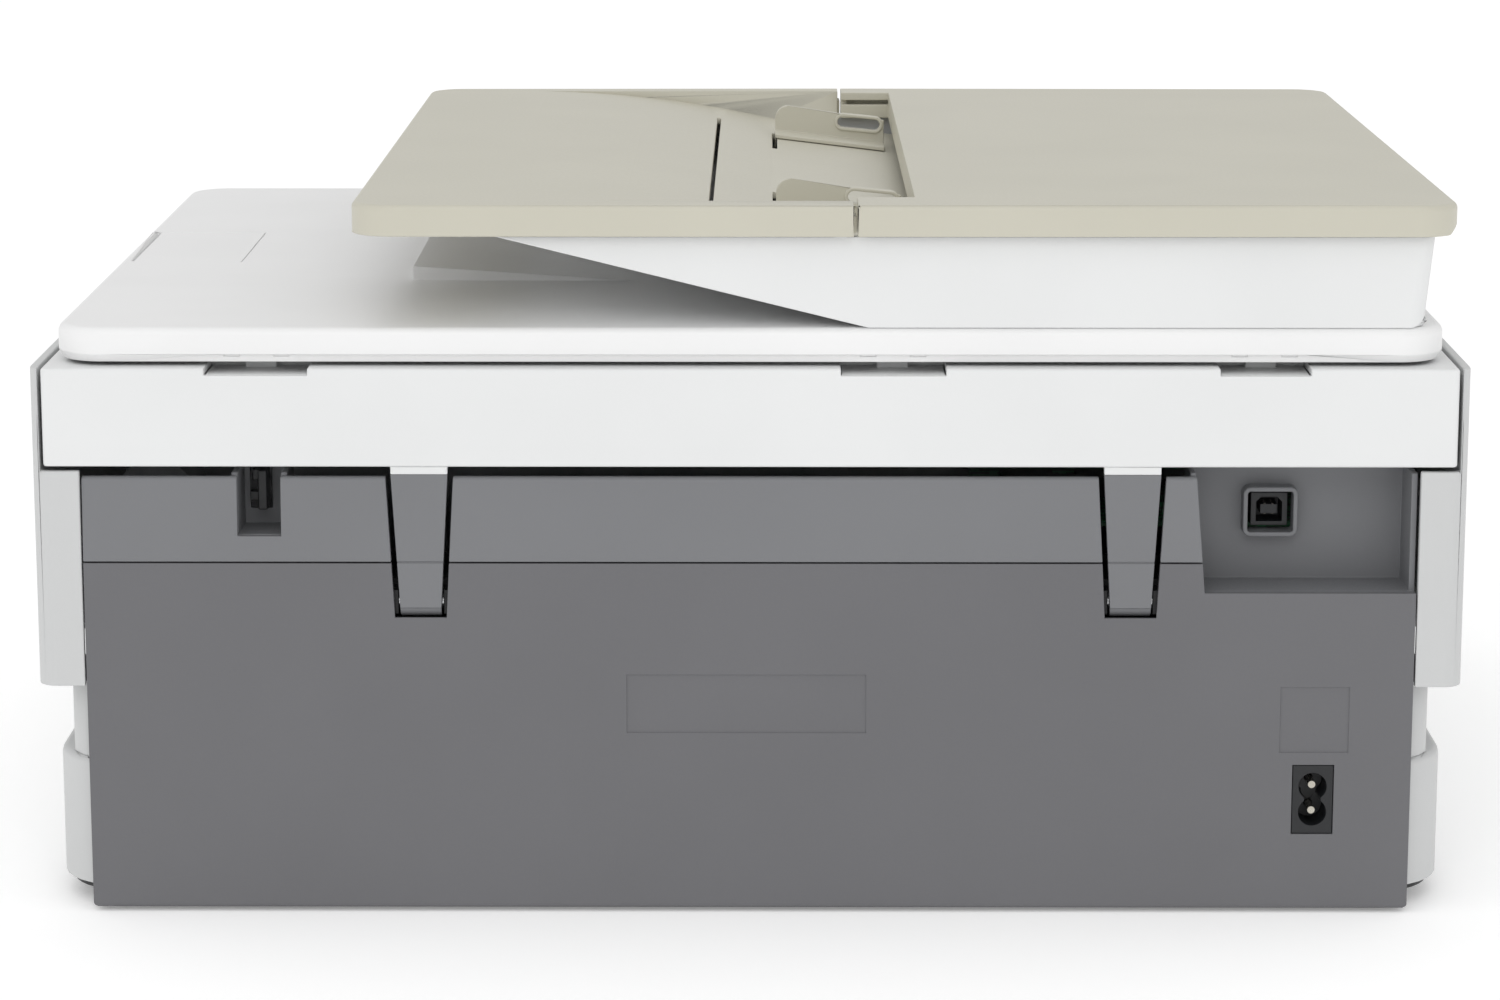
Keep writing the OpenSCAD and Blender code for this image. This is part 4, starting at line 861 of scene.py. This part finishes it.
@dataclass
class Lid:
    """Scanner lid with its foam pad and document stop.

    Attributes:
        lid: The lid, round at its top edge.
    """

    lid: Shell = field(default_factory=lambda: Shell(
        "scanner_lid", LID_ABS, (Round(2.6, 193.0, 6),), 0.3, draft_lid_edge))

    def build(self) -> None:
        """Builds the lid."""
        self.lid.build()
        Shell("lid_pad", FOAM, (), 0.8).build()
        Shell("document_stop", LID_ABS, (), 0.25).build()


@dataclass
class DocumentFeeder:
    """Feeder body, its cover and tray, rollers and guides.

    Attributes:
        split_x: Where the cover meets the tray, in mm.
        split_clear: How far in mm from there the top's round keeps.
        dip_sides: The two sides of the tray's dip, in mm.
        dip_near: How close in mm an edge is to a side that it lies along.
        body_end: The feeder body's round end lies below this, in mm.
    """

    split_x: float = -33.0
    split_clear: float = 3.0
    dip_sides: tuple[float, float] = (-149.5, 179.5)
    dip_near: float = 0.4
    body_end: float = -200.0

    def off_split(self, mid: Vector) -> bool:
        """Tells whether an edge is clear of the line between the cover and the tray."""
        return abs(mid.x - self.split_x) > self.split_clear

    def beside_dip(self, mid: Vector) -> bool:
        """Tells whether an edge lies along the tray's dip, which runs out to nothing."""
        return min(abs(mid.y - y) for y in self.dip_sides) < self.dip_near

    def build(self) -> None:
        """Builds the feeder."""
        top = Round(1.8, 233.0, 5, self.off_split)
        Shell("adf_cover", BEIGE_ABS, (top,), 0.35).build()
        Shell("adf_tray", BEIGE_ABS, (top,), 0.35, spare=self.beside_dip).build()
        ends = Round(5.0, None, 6, lambda mid: mid.x < self.body_end, 8.0)
        Shell("adf_body", WHITE_ABS, (ends,), 0.4).build()
        for name in ("rear_guide", "front_guide"):
            Shell(name, BEIGE_ABS, (), 0.3).build()
        for name in ("adf_pick_roller", "adf_feed_roller"):
            Shell(name, GREY_RUBBER, (), 0.3).build()


@dataclass
class PaperTrays:
    """Paper tray with its guides, and the output tray above it.

    Attributes:
        tray_edge: The radius in mm on the trays' edges.
        guide_edge: The radius in mm on the guides' edges.
    """

    tray_edge: float = 0.5
    guide_edge: float = 0.3

    def build(self) -> None:
        """Builds the trays."""
        Shell("paper_tray", WHITE_ABS, (), self.tray_edge).build()
        Shell("output_tray", BEIGE_ABS, (), self.tray_edge).build()
        for name in ("left_tray_guide", "right_tray_guide"):
            Shell(name, BLACK_PS, (), self.guide_edge).build()


@dataclass
class PrintEngine:
    """What prints: frame, rail, carriage, rollers, gears and electronics.

    Attributes:
        plastics: The moulded CAD nodes, which get rounded edges.
        edge: The radius in mm on those edges.
        shafts: The CAD nodes of ground steel.
        gears: Those of acetal.
        rollers: Those of rubber.
        pulleys: The belt's pulleys.
        board_thick: Thickness in mm of the circuit board, with its traces.
    """

    plastics: tuple[str, ...] = ("print_frame", "arm_brackets", "platen", "service_station",
                                 "power_supply", "print_carriage", "cartridge_black",
                                 "cartridge_color")
    edge: float = 0.3
    shafts: tuple[str, ...] = ("guide_rod", "feed_shaft", "arm_pins")
    gears: tuple[str, ...] = ("feed_gear", "transfer_gear", "eject_shaft")
    rollers: tuple[str, ...] = ("feed_rollers", "eject_rollers", "pick_roller", "carriage_belt")
    pulleys: tuple[str, ...] = ("motor_pulley", "idler_pulley")
    board_thick: float = 1.7

    def build(self) -> None:
        """Builds the engine's mouldings and dresses its other CAD nodes."""
        for name in self.plastics:
            Shell(name, BLACK_PS, (), self.edge).build()
        for name in self.shafts:
            dress(name, GROUND_SHAFT)
        for name in self.gears:
            dress(name, ACETAL)
        for name in self.rollers:
            dress(name, RUBBER)
        for name in self.pulleys:
            dress(name, BLACK_PS)
        for name in ("carriage_rail", "carriage_motor"):
            dress(name, PLATED_SHEET)
        dress("case_screws", NICKEL)
        board = Laminate("circuit_board_solder_mask", "#1f5a38", Slot.BOARD, 0.4,
                         board_top=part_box("main_board")[0].z + self.board_thick * MM)
        dress("main_board", board)


# ---------------------------------------------------------------- stage, light and camera


@dataclass
class Studio:
    """Pale floor, soft light and the camera behind the machine.

    Attributes:
        lens: Focal length in mm on a 36 mm sensor.
        camera_at: The camera's place in mm.
        tilt: The camera's turn about X, Y and Z in degrees.
        around: Strength of the even white light on all sides.
        ceiling: Strength of the ceiling's light.
        ceiling_spread: The angle in degrees that the ceiling's light comes from.
        key_at: The soft box's place in metres.
        key_to: The point that it faces, in metres.
        key_size: Its width and height in metres.
        key_power: Its power in watts.
        floor_half: Half the floor's width in metres.
    """

    lens: float = 103.2
    camera_at: Corner = (-6.0, 1545.4, 413.3)
    tilt: Corner = (78.5, 0.0, 180.25)
    around: float = 0.75
    ceiling: float = 0.4
    ceiling_spread: float = 70.0
    key_at: Corner = (0.0, 1.3, 0.8)
    key_to: Corner = (0.0, 0.19, 0.13)
    key_size: tuple[float, float] = (0.6, 0.5)
    key_power: float = 1.7
    floor_half: float = 20.0

    def build(self) -> None:
        """Sets up the camera, the floor and the lights."""
        self.camera()
        self.floor()
        self.world()
        self.sun()
        self.key()

    def camera(self) -> None:
        """Places the camera."""
        data = bpy.data.cameras.new("camera")
        data.sensor_width = 36
        data.lens = self.lens
        data.clip_start, data.clip_end = 0.05, 60
        camera = bpy.data.objects.new("camera", data)
        camera.location = [c * MM for c in self.camera_at]
        camera.rotation_euler = [math.radians(t) for t in self.tilt]
        bpy.context.scene.collection.objects.link(camera)
        bpy.context.scene.camera = camera

    def floor(self) -> None:
        """Lays a wide pale floor of matte paper."""
        bm = bmesh.new()
        bmesh.ops.create_grid(bm, x_segments=1, y_segments=1, size=self.floor_half)
        mesh = bpy.data.meshes.new("floor")
        bm.to_mesh(mesh)
        bm.free()
        # Matte paper: no highlight at all, and lit a little from behind so that it stays pale.
        paper = Moulded("matte_background_paper", "#fbfbfb", Slot.WHITE, 0.9,
                        grain=3.0, depth=0.02, mottle=0.002, glow=0.22)
        mesh.materials.append(paper.material())
        floor = bpy.data.objects.new("floor", mesh)
        bpy.context.scene.collection.objects.link(floor)

    def world(self) -> None:
        """Surrounds the scene with even white light."""
        world = bpy.data.worlds.new("studio")
        world.use_nodes = True
        back = world.node_tree.nodes["Background"]
        back.inputs["Color"].default_value = (1, 1, 1, 1)
        back.inputs["Strength"].default_value = self.around
        bpy.context.scene.world = world

    def sun(self) -> None:
        """Adds the wide, even light of a ceiling of soft boxes."""
        data = bpy.data.lights.new("ceiling", "SUN")
        data.angle = math.radians(self.ceiling_spread)
        data.energy = self.ceiling
        lamp = bpy.data.objects.new("ceiling", data)
        lamp.rotation_euler = (math.radians(-22), math.radians(16), 0)
        bpy.context.scene.collection.objects.link(lamp)

    def key(self) -> None:
        """Hangs the soft box behind the camera, above the machine's back."""
        data = bpy.data.lights.new("key", "AREA")
        data.shape = "RECTANGLE"
        data.size, data.size_y = self.key_size
        data.energy = self.key_power
        lamp = bpy.data.objects.new("key", data)
        lamp.location = self.key_at
        facing = Vector(self.key_to) - Vector(self.key_at)
        lamp.rotation_euler = facing.to_track_quat("-Z", "Y").to_euler()
        bpy.context.scene.collection.objects.link(lamp)


def main() -> None:
    """Builds the stage and every sub-assembly."""
    logging.basicConfig(level=logging.INFO, format="%(message)s")
    bpy.context.scene.view_settings.view_transform = "Standard"
    for part in (Studio(), LowerBody(), RearCovers(), FrontFascia(), ScannerUnit(), Lid(),
                 DocumentFeeder(), PaperTrays(), PrintEngine()):
        LOG.info("-- %s", type(part).__name__)
        part.build()
    bpy.context.view_layer.update()


if __name__ == "__main__":
    main()
